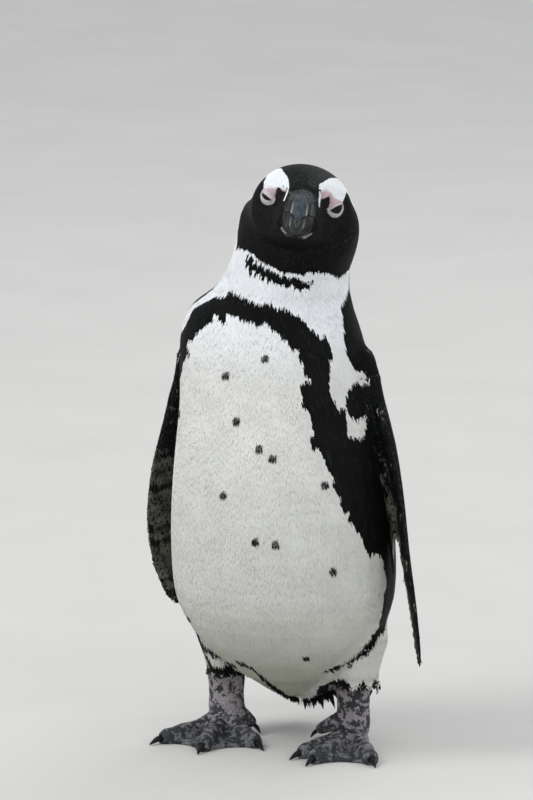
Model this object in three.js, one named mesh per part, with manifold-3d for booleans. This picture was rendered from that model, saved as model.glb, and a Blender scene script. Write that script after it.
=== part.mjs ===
// African penguin (Spheniscus demersus), adult, standing at rest, life size.
// Millimetres, +Z up. The chest faces -Y and the bird's left side is towards +X.
// Every body part is one closed solid, parted from its neighbours by a gap of GAP.
import * as THREE from "three";
import { mergeVertices } from "three/addons/utils/BufferGeometryUtils.js";
import Module from "manifold-3d";

const wasm = await Module();
wasm.setup();

// ---- Driving dimensions ----
const GAP = 0.3;
const ORIGIN_SHIFT = [3.2, 11.5]; // brings the middle of the footprint to the origin

// Trunk and neck, one row for each level: height, half width, front, back, sideways shift.
const TRUNK = [
  [30, 14, -2, 52, 12],
  [40, 25, -14, 58, 8],
  [52, 39, -29, 63, 4],
  [66, 53.5, -45, 66, 2],
  [84, 68, -60, 67, 2.5],
  [108, 78.5, -73, 66, 3.5],
  [140, 81, -78, 64, 4],
  [175, 79.5, -78, 62, 3],
  [210, 76.5, -74.5, 60, 2],
  [245, 72.5, -68, 57, 0.5],
  [275, 69.5, -61, 53, -4],
  [300, 66, -52, 48, -8],
  [319, 57, -46, 43, -6],
  [331, 46.5, -43, 40, 2],
  [342, 44, -42, 39, 5.5],
  [354, 43.5, -42, 37, 10.5],
  [366, 44.5, -41, 35, 13.5],
  [378, 44, -36, 32, 13],
  [390, 41, -24, 29, 12],
  [402, 34, -12, 24, 12],
];
const TRUNK_CAPS = [12, 18];
const TRUNK_POWERS = [2.08, 2.08];
const NECK_LOW = 312; // the cut between trunk and neck
const NECK_HIGH = 352; // the cut between neck and head

// Legs
const LEG_LEFT = [48.5, 14, 0];
const LEG_RIGHT = [-51, 14, 0];
const HEM = 47; // the lower edge of the thigh's feathers
// How far each thigh leans in over its leg, at its hem and higher up.
const LEAN = { left: [-2.5, 2], right: [2.5, 7], from: 50, to: 66 };
const THIGH = [
  [40, 14, -15, 15, 0],
  [50, 16.2, -17.5, 17, 0],
  [62, 22.5, -24, 22, 0],
  [80, 31, -32, 27, -2],
  [104, 31, -34, 28, -8],
  [128, 24, -26, 24, -14],
];
const HEM_LOCKS = { count: 13, ring: 15.5, length: 11.5, width: 6.5, thickness: 1.8, sunk: 6 };
const TARSUS = [
  [8, 11, -9, 10],
  [18, 12.5, -10, 11],
  [30, 12, -9, 9.5],
  [42, 13, -10, 10.5],
  [56, 15, -12, 12],
];
const TARSUS_SWELL = { left: 0, right: 1.2 }; // each tarsus is this much wider on its inner side
const ANKLE_CUT = 30; // the cut between tarsus and foot
// Toes: the angle opens towards the other foot, and each foot has its own spread.
const TOES = {
  inner: { left: 24, right: 51, length: 53, width: 5.8 },
  middle: { left: 6, right: 8, length: 60, width: 6.4 },
  outer: { left: -37, right: -31, length: 57, width: 6.0 },
};
const CLAW_LENGTH = 8;
const WEB_REACH = 0.94; // share of the toes' length that the web covers
const WEB_SCALLOP = 0.17; // how far its front edge is drawn in

// Head, in its own frame: bill towards -Y, crown towards +Z, the mouth line at MOUTH.
const HEAD = { at: [18, -9, 386], yaw: 23.5, pitch: -11, roll: 10.5 };
const MOUTH = -6;
const SKULL = [
  [-37, 29, -28, 20, 0.8],
  [-26, 33, -32, 26, 0.8],
  [-13, 36, -34, 30.5, 0.8],
  [0, 36.7, -35, 32, 0.8],
  [12, 35, -34, 30.8, 0.5],
  [22, 30.3, -31, 27.6, 0],
  [32, 23.5, -28, 22.5, 0],
  [40, 17, -25.5, 17, 0],
  [45, 13.8, -24, 13.8, 0],
  [49, 12.2, -23, 12, 0],
];
const SKULL_CAPS = [20, 6];
const SKULL_POWERS = [2, 2.15];
const UPPER_BILL = [
  [36, 11.6, -6.3, 11.2, 0],
  [46, 11.2, -6.3, 10.6, 0],
  [56, 9.6, -6.4, 8.8, 0],
  [68, 7.8, -6.6, 7.1, 0],
  [80, 6.9, -7.0, 6.6, 0],
  [89, 6.3, -8.2, 5.6, 0],
  [96, 5.2, -10.8, 1.8, 0],
  [101, 3.6, -13.2, -4.2, 0],
];
const LOWER_BILL = [
  [36, 11.4, -22, -6.8, 0],
  [46, 10.6, -21.6, -6.8, 0],
  [56, 9.0, -20.6, -6.9, 0],
  [68, 7.3, -20, -7.1, 0],
  [80, 6.4, -20, -7.6, 0],
  [89, 5.2, -18.6, -9.2, 0],
  [95, 3.6, -16.2, -11.6, 0],
];
const EYE = { x: 19.2, forward: 21, z: 3.5, radius: 7.5, turn: 50, lid: 1.0 };
const SLIT = { half: 6.0, height: 2.3, slope: 20 }; // the opening between the lids
const NOSTRIL = { forward: 64, z: 0.8, length: 4.4, height: 0.8 };

// Flippers: rows give share of length from shoulder to tip, half chord, half thickness, sweep,
// and how far each flipper bows out there.
const SHOULDER_LEFT = [66.5, 2, 282];
const SHOULDER_RIGHT = [-71, 4, 288];
const TIP_LEFT = [107.5, -5, 67.5];
const TIP_RIGHT = [-113, 68, 78];
const FLIPPER_OPEN = 32; // degrees that the leading edge turns away from the body
const FLIPPER = [
  [-0.05, 11, 7, -2, { left: -1, right: 0 }],
  [0.05, 15, 7.5, -1, { left: -1.5, right: 0 }],
  [0.15, 17.5, 7, 0, { left: -0.5, right: -2 }],
  [0.28, 19.5, 6.2, 3, { left: 2.2, right: -2 }],
  [0.44, 21, 4.6, 8, { left: 2.2, right: 0 }],
  [0.62, 20.5, 3.7, 11, { left: 0, right: 0 }],
  [0.78, 17, 3.0, 9, { left: 0, right: 0 }],
  [0.91, 12, 2.4, 3.5, { left: 0, right: 0 }],
  [1.0, 7, 1.8, -2.5, { left: 0, right: 0 }],
];

// Tail
const TAIL = { root: [-4, 50, 58], tip: [-13, 77, 7], fan: 17, spread: 11, rounding: 0.2 };
const VANE = { width: 7.5, thickness: 1.8 };
const TAIL_TIERS = [
  { vanes: 8, depth: -1.2, reach: 1.0 },
  { vanes: 7, depth: 1.4, reach: 0.86 },
];

// ---- Shapes ----
const radians = THREE.MathUtils.degToRad;
const vector = (v) => new THREE.Vector3(...v);

// Smooth interpolation of the columns of a table whose first column rises.
function track(rows) {
  const slope = (i, c) => {
    const before = rows[Math.max(i - 1, 0)];
    const after = rows[Math.min(i + 1, rows.length - 1)];
    return (after[c] - before[c]) / (after[0] - before[0]);
  };
  return (t) => {
    const at = THREE.MathUtils.clamp(t, rows[0][0], rows.at(-1)[0]);
    let i = 0;
    while (i < rows.length - 2 && at > rows[i + 1][0]) i++;
    const step = rows[i + 1][0] - rows[i][0];
    const s = (at - rows[i][0]) / step;
    const [s2, s3] = [s * s, s * s * s];
    const mix = (c) =>
      (2 * s3 - 3 * s2 + 1) * rows[i][c] +
      (s3 - 2 * s2 + s) * step * slope(i, c) +
      (3 * s2 - 2 * s3) * rows[i + 1][c] +
      (s3 - s2) * step * slope(i + 1, c);
    return [1, 2, 3, 4].map(mix);
  };
}

// A closed tube along +Z through the sections of a table, with rounded ends.
// caps are the lengths of the two ends, where 0 leaves an end flat; grow swells it all over.
// powers round off the +Y and the -Y half of each section: 2 is an ellipse, more is squarer.
function loft(rows, { around, steps, caps, powers = [2, 2], grow = 0, shape }) {
  const sections = track(rows);
  const low = rows[0][0] - grow;
  const high = rows.at(-1)[0] + grow;
  const levels = levelsOf(low, high, caps, steps);
  const geometry = new THREE.SphereGeometry(1, around, levels.length - 1);
  const position = geometry.attributes.position;
  for (let i = 0; i < position.count; i++) {
    const turn = (2 * Math.PI * ((i % (around + 1)) % around)) / around;
    const row = levels.length - 1 - Math.floor(i / (around + 1));
    const t = levels[row];
    const [half, near, far, side] = sections(t);
    const close = closing(t, low, high, caps, row === 0 || row === levels.length - 1);
    const power = Math.sin(turn) > 0 ? powers[0] : powers[1];
    const bow = (c) => Math.sign(c) * Math.abs(c) ** (2 / power);
    const x = side + close * (half + grow) * bow(Math.cos(turn));
    const y = (near + far) / 2 + close * ((far - near) / 2 + grow) * bow(Math.sin(turn));
    const p = new THREE.Vector3(x, y, t);
    if (shape) shape(p, { half, side, near, far });
    position.setXYZ(i, p.x, p.y, p.z);
  }
  return geometry;
}

// Heights of a tube's rings: even between the caps, and set closer where a cap rounds off.
function levelsOf(low, high, [capLow, capHigh], steps) {
  const CAP_RINGS = 3;
  const levels = [];
  for (let i = 0; i < CAP_RINGS && capLow; i++)
    levels.push(low + capLow * (1 - Math.cos((i / CAP_RINGS) * (Math.PI / 2))));
  const [from, to] = [low + capLow, high - capHigh];
  for (let i = 0; i <= steps; i++) levels.push(from + ((to - from) * i) / steps);
  for (let i = CAP_RINGS - 1; i >= 0 && capHigh; i--)
    levels.push(high - capHigh * (1 - Math.cos((i / CAP_RINGS) * (Math.PI / 2))));
  if (!capLow) levels.unshift(low);
  if (!capHigh) levels.push(high);
  return levels;
}

// How far a section has closed: 1 in the tube's middle, 0 at its two ends.
function closing(t, low, high, [capLow, capHigh], end) {
  if (end) return 0;
  const below = capLow ? Math.max(0, (low + capLow - t) / capLow) : 0;
  const above = capHigh ? Math.max(0, (t - high + capHigh) / capHigh) : 0;
  return Math.sqrt(1 - Math.max(below, above) ** 2);
}

// A thin pointed blade along +Z, flat across Y: a vane or a lock with its root at 0.
function blade(length, width, thickness, steps) {
  const rows = [
    [0, width * 0.45, -thickness / 2, thickness / 2, 0],
    [length * 0.4, width * 0.5, -thickness / 2, thickness / 2, 0],
    [length * 0.8, width * 0.34, -thickness * 0.4, thickness * 0.4, 0],
    [length, width * 0.07, -thickness * 0.2, thickness * 0.2, 0],
  ];
  return loft(rows, { around: 6, steps, caps: [0, 0] });
}

// A seeded source of small variations, from -1 to 1.
function seeded(seed) {
  let state = seed;
  return () => {
    state = (state * 16807) % 2147483647;
    return (state / 2147483647) * 2 - 1;
  };
}

// An ellipsoid.
function ellipsoid(radii, centre, around = 20, rings = 12) {
  return new THREE.SphereGeometry(1, around, rings).scale(...radii).translate(...centre);
}

// A slab grid shaped by place(s, r, k): s and r run from 0 to 1 over it, k is 0 below and 1 above.
function sheet(across, along, place) {
  const geometry = new THREE.BoxGeometry(1, 1, 1, across, along, 1);
  const position = geometry.attributes.position;
  for (let i = 0; i < position.count; i++) {
    const p = place(position.getX(i) + 0.5, position.getY(i) + 0.5, position.getZ(i) + 0.5);
    position.setXYZ(i, ...p);
  }
  return geometry;
}

// The rotation that lays a shape made along +Z along the direction `along`, with its +X near `across`.
function frameOf(origin, along, across) {
  const z = along.clone().normalize();
  const x = across.clone().addScaledVector(z, -across.dot(z)).normalize();
  const y = new THREE.Vector3().crossVectors(z, x);
  return new THREE.Matrix4().makeBasis(x, y, z).setPosition(origin);
}

// ---- Solids ----
function solid(geometry, matrix) {
  const moved = geometry.clone();
  moved.deleteAttribute("normal");
  moved.deleteAttribute("uv");
  if (matrix) moved.applyMatrix4(matrix);
  const merged = mergeVertices(moved, 1e-4);
  const triVerts = new Uint32Array(merged.index.array);
  const build = () => {
    const vertProperties = merged.attributes.position.array;
    return new wasm.Manifold(new wasm.Mesh({ numProp: 3, vertProperties, triVerts }));
  };
  const made = build();
  if (made.volume() > 0) return made;
  for (let i = 0; i < triVerts.length; i += 3)
    [triVerts[i], triVerts[i + 1]] = [triVerts[i + 1], triVerts[i]];
  return build();
}

const join = (parts) => parts.reduce((all, part) => all.add(part));
const above = (part, z) => part.trimByPlane([0, 0, 1], z);
const below = (part, z) => part.trimByPlane([0, 0, -1], -z);

// The largest closed body of a solid, which drops any scrap that a cut leaves.
function largest(part) {
  return part.decompose().reduce((a, b) => (b.volume() > a.volume() ? b : a));
}

function node(name, part, material) {
  const { vertProperties, triVerts, numProp, numVert } = largest(part).getMesh();
  const position = new Float32Array(numVert * 3);
  for (let i = 0; i < numVert; i++)
    position.set(vertProperties.subarray(i * numProp, i * numProp + 3), i * 3);
  const geometry = new THREE.BufferGeometry()
    .setAttribute("position", new THREE.BufferAttribute(position, 3))
    .setIndex(new THREE.BufferAttribute(triVerts, 1));
  const mesh = new THREE.Mesh(geometry, material);
  mesh.name = name;
  return mesh;
}

// ---- Trunk, neck and thighs ----
function trunkAndNeck(grow = 0) {
  const options = { around: 36, steps: 25, caps: TRUNK_CAPS, powers: TRUNK_POWERS, grow };
  return solid(loft(TRUNK, options));
}

const legAt = (side) => vector(side > 0 ? LEG_LEFT : LEG_RIGHT);

// The feathered thigh, a pear that widens up into the trunk; its open lower edge is flat.
function thigh(side, grow = 0) {
  const { lerp, smoothstep } = THREE.MathUtils;
  const [hem, high] = side > 0 ? LEAN.left : LEAN.right;
  const lean = (z) => lerp(hem, high, smoothstep(z, LEAN.from, LEAN.to));
  const inward = THIGH.map((row) => [...row.slice(0, 4), side * (row[4] - lean(row[0]))]);
  const options = { around: 20, steps: 6, caps: [5, 18], grow };
  const hip = new THREE.Matrix4().setPosition(legAt(side));
  return above(solid(loft(inward, options), hip), HEM - grow);
}

// The ragged lower edge of the thigh's feathers: pointed locks that hang round the tarsus.
function hemLocks(side) {
  const { count, ring, length, width, thickness, sunk } = HEM_LOCKS;
  const vary = seeded(side > 0 ? 11 : 23);
  const centre = legAt(side);
  centre.x -= side * (side > 0 ? LEAN.left : LEAN.right)[0];
  const locks = [];
  for (let i = 0; i < count; i++) {
    const turn = (2 * Math.PI * (i + 0.2 * vary())) / count;
    const out = new THREE.Vector3(Math.cos(turn), Math.sin(turn), 0);
    const origin = centre.clone().addScaledVector(out, ring).setZ(HEM + sunk);
    const along = out.clone().multiplyScalar(0.1).setZ(-1);
    const across = new THREE.Vector3(-out.y, out.x, 0);
    const made = blade(length * (1 + 0.15 * vary()), width, thickness, 2);
    locks.push(solid(made, frameOf(origin, along, across)));
  }
  return join(locks).subtract(shank(side, GAP));
}

function trunkWithThighs(grow = 0) {
  return join([trunkAndNeck(grow), thigh(1, grow), thigh(-1, grow)]);
}

// ---- Legs and feet ----
function shank(side, grow = 0) {
  const swell = side > 0 ? TARSUS_SWELL.left : TARSUS_SWELL.right;
  const rows = TARSUS.map(([z, half, near, far]) => [z, half + swell, near, far, -side * swell]);
  const options = { around: 14, steps: 5, caps: [3, 3], grow };
  return solid(loft(rows, options), new THREE.Matrix4().setPosition(legAt(side)));
}

const tarsus = (side) => below(above(shank(side), ANKLE_CUT + GAP), HEM - GAP);

// The level direction that opens by an angle towards the other foot.
function opening(side, degrees) {
  const turn = radians(-side * degrees);
  return new THREE.Vector3(Math.sin(turn), -Math.cos(turn), 0);
}

const toeAngle = (side, toe) => (side > 0 ? toe.left : toe.right);

// A toe's frame: +Z runs forward along the toe and +Y points up.
function toeFrame(side, part) {
  const along = opening(side, toeAngle(side, part));
  const across = new THREE.Vector3(along.y, -along.x, 0).negate();
  return frameOf(legAt(side), along, across);
}

// A toe lies on its flat sole; each joint swells it a little.
function toe(side, part) {
  const { length, width } = part;
  const rows = [
    [-9, width + 3, -3, 17, 0],
    [4, width + 3.8, -3, 20, 0],
    [15, width + 2.2, -3, 16.2, 0],
    [length * 0.45, width * 1.06, -3, 12.8, 0],
    [length * 0.6, width * 1.16, -3, 13, 0],
    [length * 0.76, width * 0.98, -3, 11, 0],
    [length * 0.9, width * 1.02, -3, 10.6, 0],
    [length, width * 0.8, -2, 8.4, 0],
  ];
  const options = { around: 10, steps: 8, caps: [5, 6] };
  return solid(loft(rows, options), toeFrame(side, part));
}

function claw(side, part, grow = 0) {
  const { length } = part;
  const rows = [
    [length - 5, 2.3, 1.6, 6.6, 0],
    [length + 1, 2.3, 1.4, 6.4, 0],
    [length + CLAW_LENGTH * 0.45, 1.8, 0.9, 5.0, 0],
    [length + CLAW_LENGTH * 0.75, 1.1, 0.5, 2.9, 0],
    [length + CLAW_LENGTH, 0.5, 0.35, 1.2, 0],
  ];
  const options = { around: 6, steps: 4, caps: [1, 1], grow };
  return solid(loft(rows, options), toeFrame(side, part));
}

// The web between two toes, with a scalloped front edge.
function web(side, from, to) {
  const { lerp } = THREE.MathUtils;
  const place = (s, r, k) => {
    const reach = lerp(from.length, to.length, s) * WEB_REACH;
    const edge = 1 - WEB_SCALLOP * Math.sin(Math.PI * s);
    const angle = lerp(toeAngle(side, from), toeAngle(side, to), s);
    const p = opening(side, angle).multiplyScalar(reach * edge * lerp(0.12, 1, r));
    const sag = 1.6 * Math.sin(Math.PI * s) * r;
    return [p.x, p.y, k ? lerp(11, 4.4, Math.sqrt(r)) - sag : 0];
  };
  return solid(sheet(5, 4, place), new THREE.Matrix4().setPosition(legAt(side)));
}

// The small hind toe lies on the inner side of the foot.
const HALLUX = {
  left: { angle: 84, tilt: 28, z: 24, length: 31 },
  right: { angle: 98, tilt: 35, z: 23, length: 28 },
};
const halluxOf = (side) => (side > 0 ? HALLUX.left : HALLUX.right);

function halluxFrame(side) {
  const { angle, tilt, z } = halluxOf(side);
  const along = opening(side, angle).multiplyScalar(Math.cos(radians(tilt)));
  along.z = -Math.sin(radians(tilt));
  const across = new THREE.Vector3(0, 0, 1).cross(along);
  const root = legAt(side).setZ(z);
  return frameOf(root, along, across);
}

function hallux(side) {
  const { length } = halluxOf(side);
  const rows = [
    [0, 7.5, -9, 7, 0],
    [12, 6.8, -7, 6.4, 0],
    [20, 5.6, -5.2, 5.4, 0],
    [length, 3.8, -3.6, 3.8, 0],
  ];
  return solid(loft(rows, { around: 10, steps: 4, caps: [3, 4] }), halluxFrame(side));
}

function halluxClaw(side, grow = 0) {
  const { length } = halluxOf(side);
  const rows = [
    [length - 3, 1.7, -1.7, 1.7, 0],
    [length + 2, 1.5, -2.0, 1.4, 0],
    [length + 6, 0.5, -3.0, -1.8, 0],
  ];
  const options = { around: 6, steps: 3, caps: [0.8, 0.8], grow };
  return solid(loft(rows, options), halluxFrame(side));
}

function foot(side, claws) {
  const { inner, middle, outer } = TOES;
  const parts = [inner, middle, outer].map((t) => toe(side, t));
  const pieces = [...parts, web(side, inner, middle), web(side, middle, outer)];
  const whole = join([...pieces, hallux(side), shank(side)]);
  return above(below(whole, ANKLE_CUT), 0).subtract(join(claws));
}

// ---- Head ----
const headFrame = new THREE.Matrix4()
  .makeRotationZ(radians(HEAD.yaw))
  .multiply(new THREE.Matrix4().makeRotationX(radians(HEAD.pitch)))
  .multiply(new THREE.Matrix4().makeRotationY(radians(HEAD.roll)))
  .setPosition(vector(HEAD.at));
// Lofts along +Z turn to run forward, with their +Y up.
const forwardFrame = headFrame.clone().multiply(new THREE.Matrix4().makeRotationX(Math.PI / 2));

function skull(grow = 0) {
  const options = { around: 30, steps: 14, caps: SKULL_CAPS, powers: SKULL_POWERS, grow };
  return solid(loft(SKULL, options), forwardFrame);
}

function eyeFrame(side) {
  const turn = radians(side * EYE.turn);
  const along = new THREE.Vector3(Math.sin(turn), -Math.cos(turn), 0);
  const across = new THREE.Vector3(0, 0, 1).cross(along);
  const centre = new THREE.Vector3(side * EYE.x, -EYE.forward, EYE.z);
  return headFrame.clone().multiply(frameOf(centre, along, across));
}

function eyeball(side, grow = 0) {
  const r = EYE.radius + grow;
  return solid(ellipsoid([r, r, r], [0, 0, 0], 16, 10), eyeFrame(side));
}

// A shallow dish in the face round each eye.
function orbit(side) {
  return solid(ellipsoid([12.5, 10.5, 4.2], [0, 1.5, EYE.radius + 4.6], 16, 8), eyeFrame(side));
}

// The lids wrap the eyeball, and their slit slopes down towards the bill.
function lids(side) {
  const r = EYE.radius + EYE.lid;
  return solid(ellipsoid([r, r * 0.94, r + 0.3], [0, 0, 0], 18, 12), eyeFrame(side));
}

function lidSlit(side) {
  const cutter = ellipsoid([SLIT.half, SLIT.height, 5], [0, 0, 0], 16, 8);
  const tilt = new THREE.Matrix4().makeRotationZ(radians(side * SLIT.slope));
  tilt.setPosition(0, -0.4, EYE.radius + 1);
  return solid(cutter, eyeFrame(side).multiply(tilt));
}

function upperBill(grow = 0) {
  const shape = (p, { near, far }) => {
    const high = (p.y - near) / (far - near);
    p.x *= 1 - 0.34 * THREE.MathUtils.clamp(high, 0, 1) ** 2; // narrows to the culmen
  };
  const options = { around: 16, steps: 12, caps: [3, 3], powers: [2.2, 30], grow, shape };
  return solid(loft(UPPER_BILL, options), forwardFrame);
}

function lowerBill(grow = 0) {
  const shape = (p, { near, far }) => {
    const low = (far - p.y) / (far - near);
    p.x *= 1 - 0.4 * THREE.MathUtils.clamp(low, 0, 1) ** 2; // narrows to the keel
  };
  const options = { around: 16, steps: 10, caps: [3, 3], powers: [30, 2.2], grow, shape };
  return solid(loft(LOWER_BILL, options), forwardFrame);
}

function nostril(side) {
  const { forward, z, length, height } = NOSTRIL;
  return solid(ellipsoid([1.1, length, height], [side * 7.6, -forward, z], 12, 8), headFrame);
}

// The line of the mouth runs back from the bill under each eye, as a shallow groove.
function gape() {
  const plate = solid(ellipsoid([30, 24, 0.7], [0, -38, MOUTH - 1.2], 24, 6), headFrame);
  return plate.subtract(skull(-1.3));
}

function headAndNeckTop() {
  const whole = join([skull(), trunkAndNeck()]);
  const dished = whole.subtract(join([orbit(1), orbit(-1)]));
  const lidded = join([dished, lids(1), lids(-1)]);
  const cutters = [gape(), upperBill(GAP), lowerBill(GAP)];
  for (const side of [1, -1]) cutters.push(eyeball(side, GAP), lidSlit(side));
  return lidded.subtract(join(cutters));
}

// ---- Flippers ----
function flipper(side) {
  const from = vector(side > 0 ? SHOULDER_LEFT : SHOULDER_RIGHT);
  const to = vector(side > 0 ? TIP_LEFT : TIP_RIGHT);
  const along = to.clone().sub(from);
  const turn = radians(side * FLIPPER_OPEN);
  const lead = new THREE.Vector3(Math.sin(turn), -Math.cos(turn), 0);
  const rows = FLIPPER.map(([t, half, thick, sweep, bow]) => {
    const out = -side * (side > 0 ? bow.left : bow.right);
    return [t * along.length(), half, out - thick, out + thick, sweep];
  });
  const shape = (p, { half, side: middle }) => {
    const share = THREE.MathUtils.clamp((p.x - middle) / half, -1, 1);
    p.y *= 0.72 + 0.28 * share; // the trailing edge is thinner
  };
  const options = { around: 18, steps: 14, caps: [12, 12], shape };
  return solid(loft(rows, options), frameOf(from, along, lead));
}

// ---- Tail ----
// Stiff pointed vanes in two tiers, with their roots sunk in a wedge of coverts.
function tail() {
  const root = vector(TAIL.root);
  const along = vector(TAIL.tip).sub(root);
  const length = along.length();
  const coverts = [
    [-16, 20, -7, 7, 0],
    [0, 20, -6.5, 6.5, 0],
    [length * 0.3, 18, -4.6, 4.6, 0],
    [length * 0.58, 13, -2.4, 2.4, 0],
  ];
  const pieces = [solid(loft(coverts, { around: 18, steps: 5, caps: [4, 5] }))];
  const vary = seeded(5);
  for (const { vanes, depth, reach } of TAIL_TIERS)
    for (let i = 0; i < vanes; i++) {
      const share = (2 * i) / (vanes - 1) - 1;
      const turn = new THREE.Matrix4().makeRotationY(radians(TAIL.fan * share + vary()));
      turn.setPosition(TAIL.spread * share, depth, 0);
      const long = length * reach * (1 - TAIL.rounding * share ** 2) * (1 + 0.03 * vary());
      pieces.push(solid(blade(long, VANE.width, VANE.thickness, 4), turn));
    }
  return join(pieces).transform(frameOf(root, along, new THREE.Vector3(1, 0, 0)).elements);
}

// ---- Materials ----
const finish = (color, roughness) => new THREE.MeshStandardMaterial({ color, roughness });
const materials = {
  white: finish(0xe9e8e2, 0.85),
  black: finish(0x17181a, 0.75),
  horn: finish(0x2c2f33, 0.45),
  eye: finish(0x1a1210, 0.1),
  skin: finish(0x6f686b, 0.7),
};

// ---- The bird ----
const penguin = new THREE.Group();
penguin.position.set(...ORIGIN_SHIFT, 0);
const add = (name, part, material) => penguin.add(node(name, part, material));

const body = trunkWithThighs();
const aroundBody = trunkWithThighs(GAP);
const top = headAndNeckTop();

const locks = join([hemLocks(1), hemLocks(-1)]);
add("torso", join([below(body, NECK_LOW), locks]), materials.white);
add("neck", below(above(trunkAndNeck(), NECK_LOW + GAP), NECK_HIGH), materials.white);
add("head", above(top, NECK_HIGH + GAP), materials.black);
const nostrils = join([nostril(1), nostril(-1)]);
add("bill_upper", upperBill().subtract(nostrils), materials.horn);
add("bill_lower", lowerBill().subtract(upperBill(GAP)), materials.horn);
add("tail", tail().subtract(aroundBody), materials.black);

for (const [side, word] of [
  [1, "left"],
  [-1, "right"],
]) {
  add(`eye_${word}`, eyeball(side), materials.eye);
  add(`flipper_${word}`, flipper(side).subtract(aroundBody), materials.black);
  add(`leg_${word}`, tarsus(side).subtract(aroundBody), materials.skin);
  const sockets = Object.values(TOES).map((t) => claw(side, t, GAP));
  add(`foot_${word}`, foot(side, [...sockets, halluxClaw(side, GAP)]), materials.skin);
  for (const [toeName, t] of Object.entries(TOES))
    add(`claw_${word}_${toeName}`, above(claw(side, t), 0), materials.horn);
  add(`claw_${word}_hind`, halluxClaw(side), materials.horn);
}

export default penguin;
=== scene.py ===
import math

import bpy
import numpy as np
from mathutils import Matrix, Vector
from mathutils.bvhtree import BVHTree


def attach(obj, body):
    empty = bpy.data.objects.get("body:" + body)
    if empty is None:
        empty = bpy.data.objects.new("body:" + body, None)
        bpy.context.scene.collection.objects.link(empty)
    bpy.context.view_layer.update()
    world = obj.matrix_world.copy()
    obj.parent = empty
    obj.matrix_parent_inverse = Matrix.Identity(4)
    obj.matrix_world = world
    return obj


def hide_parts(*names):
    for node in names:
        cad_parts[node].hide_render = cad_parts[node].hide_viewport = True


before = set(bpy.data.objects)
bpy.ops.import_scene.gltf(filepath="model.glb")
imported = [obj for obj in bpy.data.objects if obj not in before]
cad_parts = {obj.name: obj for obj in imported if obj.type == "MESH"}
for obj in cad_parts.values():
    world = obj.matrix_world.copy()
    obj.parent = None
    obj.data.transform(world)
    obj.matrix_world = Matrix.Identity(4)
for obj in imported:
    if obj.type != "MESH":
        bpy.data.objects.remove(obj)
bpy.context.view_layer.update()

MM = 0.001  # the numbers below are in millimetres, in the row's frame: the bird faces -Y, its left is +X
rng = np.random.default_rng(11)

# ---- The bird's own frames ----
BODY_AXIS = (3.2, 8.0)
SIDES = {1: "left", -1: "right"}
LEGS = {1: (51.7, 25.5), -1: (-47.8, 25.5)}
HEAD_AT = np.array([21.2, 2.5, 386.0])
HEAD_TURNS = (("Z", 23.5), ("X", -11.0), ("Y", 10.5))
FACE_CENTRE = np.array([5.0, 0.0, -2.0])  # forward, left, up of the head's origin
BILL_ROOT = np.array([46.0, 0.0, -4.0])
EYE = {"lateral": 20.6, "forward": 22.0, "up": 3.3, "radius": 7.5, "turn": 48.0}
FLIPPERS = {
    1: {"from": (69.7, 13.5, 282.0), "to": (110.7, 6.5, 67.5)},
    -1: {"from": (-67.8, 15.5, 288.0), "to": (-109.8, 79.5, 78.0)},
}
FLIPPER_OPEN = 32.0
# Share of the length, half chord, half thickness and sweep.
FLIPPER_PLAN = [
    (-0.05, 11, 7, -2), (0.05, 15, 7.5, -1), (0.15, 17.5, 7, 0), (0.28, 19.5, 6.2, 3), (0.44, 21, 4.6, 8),
    (0.62, 20.5, 3.7, 11), (0.78, 17, 3, 9), (0.91, 12, 2.4, 3.5), (1.0, 7, 1.8, -2.5),
]


def unit(v):
    v = np.asarray(v, float)
    return v / np.maximum(np.linalg.norm(v, axis=-1, keepdims=True), 1e-9)


def smoothstep(x, low, high):
    t = np.clip((np.asarray(x, float) - low) / (high - low), 0, 1)
    return t * t * (3 - 2 * t)


def mix(a, b, share):
    return a * (1 - share) + b * share


def bell(x, width, power=2):
    """1 at zero, falling away on both sides."""
    return np.exp(-((x / width) ** power))


def turned(turns):
    m = np.eye(3)
    for axis, degrees in turns:
        m = m @ np.array(Matrix.Rotation(math.radians(degrees), 3, axis))
    return m


HEAD_TURN = turned(HEAD_TURNS)


def to_head(p):
    """Forward, left and up of the head's origin."""
    q = (np.asarray(p, float) - HEAD_AT) @ HEAD_TURN
    return np.stack([-q[..., 1], q[..., 0], q[..., 2]], -1)


def from_head(flu):
    flu = np.asarray(flu, float)
    q = np.stack([flu[..., 1], -flu[..., 0], flu[..., 2]], -1)
    return q @ HEAD_TURN.T + HEAD_AT


def head_direction(flu):
    flu = np.asarray(flu, float)
    return np.stack([flu[..., 1], -flu[..., 0], flu[..., 2]], -1) @ HEAD_TURN.T


def on_face(p):
    """Longitude and latitude on the head, in degrees: 0, 0 is towards the bill, and the left is positive."""
    d = to_head(p) - FACE_CENTRE
    lon = np.degrees(np.arctan2(d[..., 1], d[..., 0]))
    lat = np.degrees(np.arcsin(d[..., 2] / np.linalg.norm(d, axis=-1)))
    return lon, lat


def round_body(p):
    """Degrees round the body from its front, the left positive, and height."""
    azimuth = np.degrees(np.arctan2(p[..., 0] - BODY_AXIS[0], -(p[..., 1] - BODY_AXIS[1])))
    return azimuth, p[..., 2]


def flipper_frame(side):
    """Root, the ways along, forward and through the flipper, and its length."""
    plan = FLIPPERS[side]
    start = np.array(plan["from"])
    along = np.array(plan["to"]) - start
    length = np.linalg.norm(along)
    along = along / length
    turn = math.radians(side * FLIPPER_OPEN)
    lead = np.array([math.sin(turn), -math.cos(turn), 0.0])
    lead = unit(lead - along * (lead @ along))
    return start, along, lead, np.cross(along, lead), length


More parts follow.
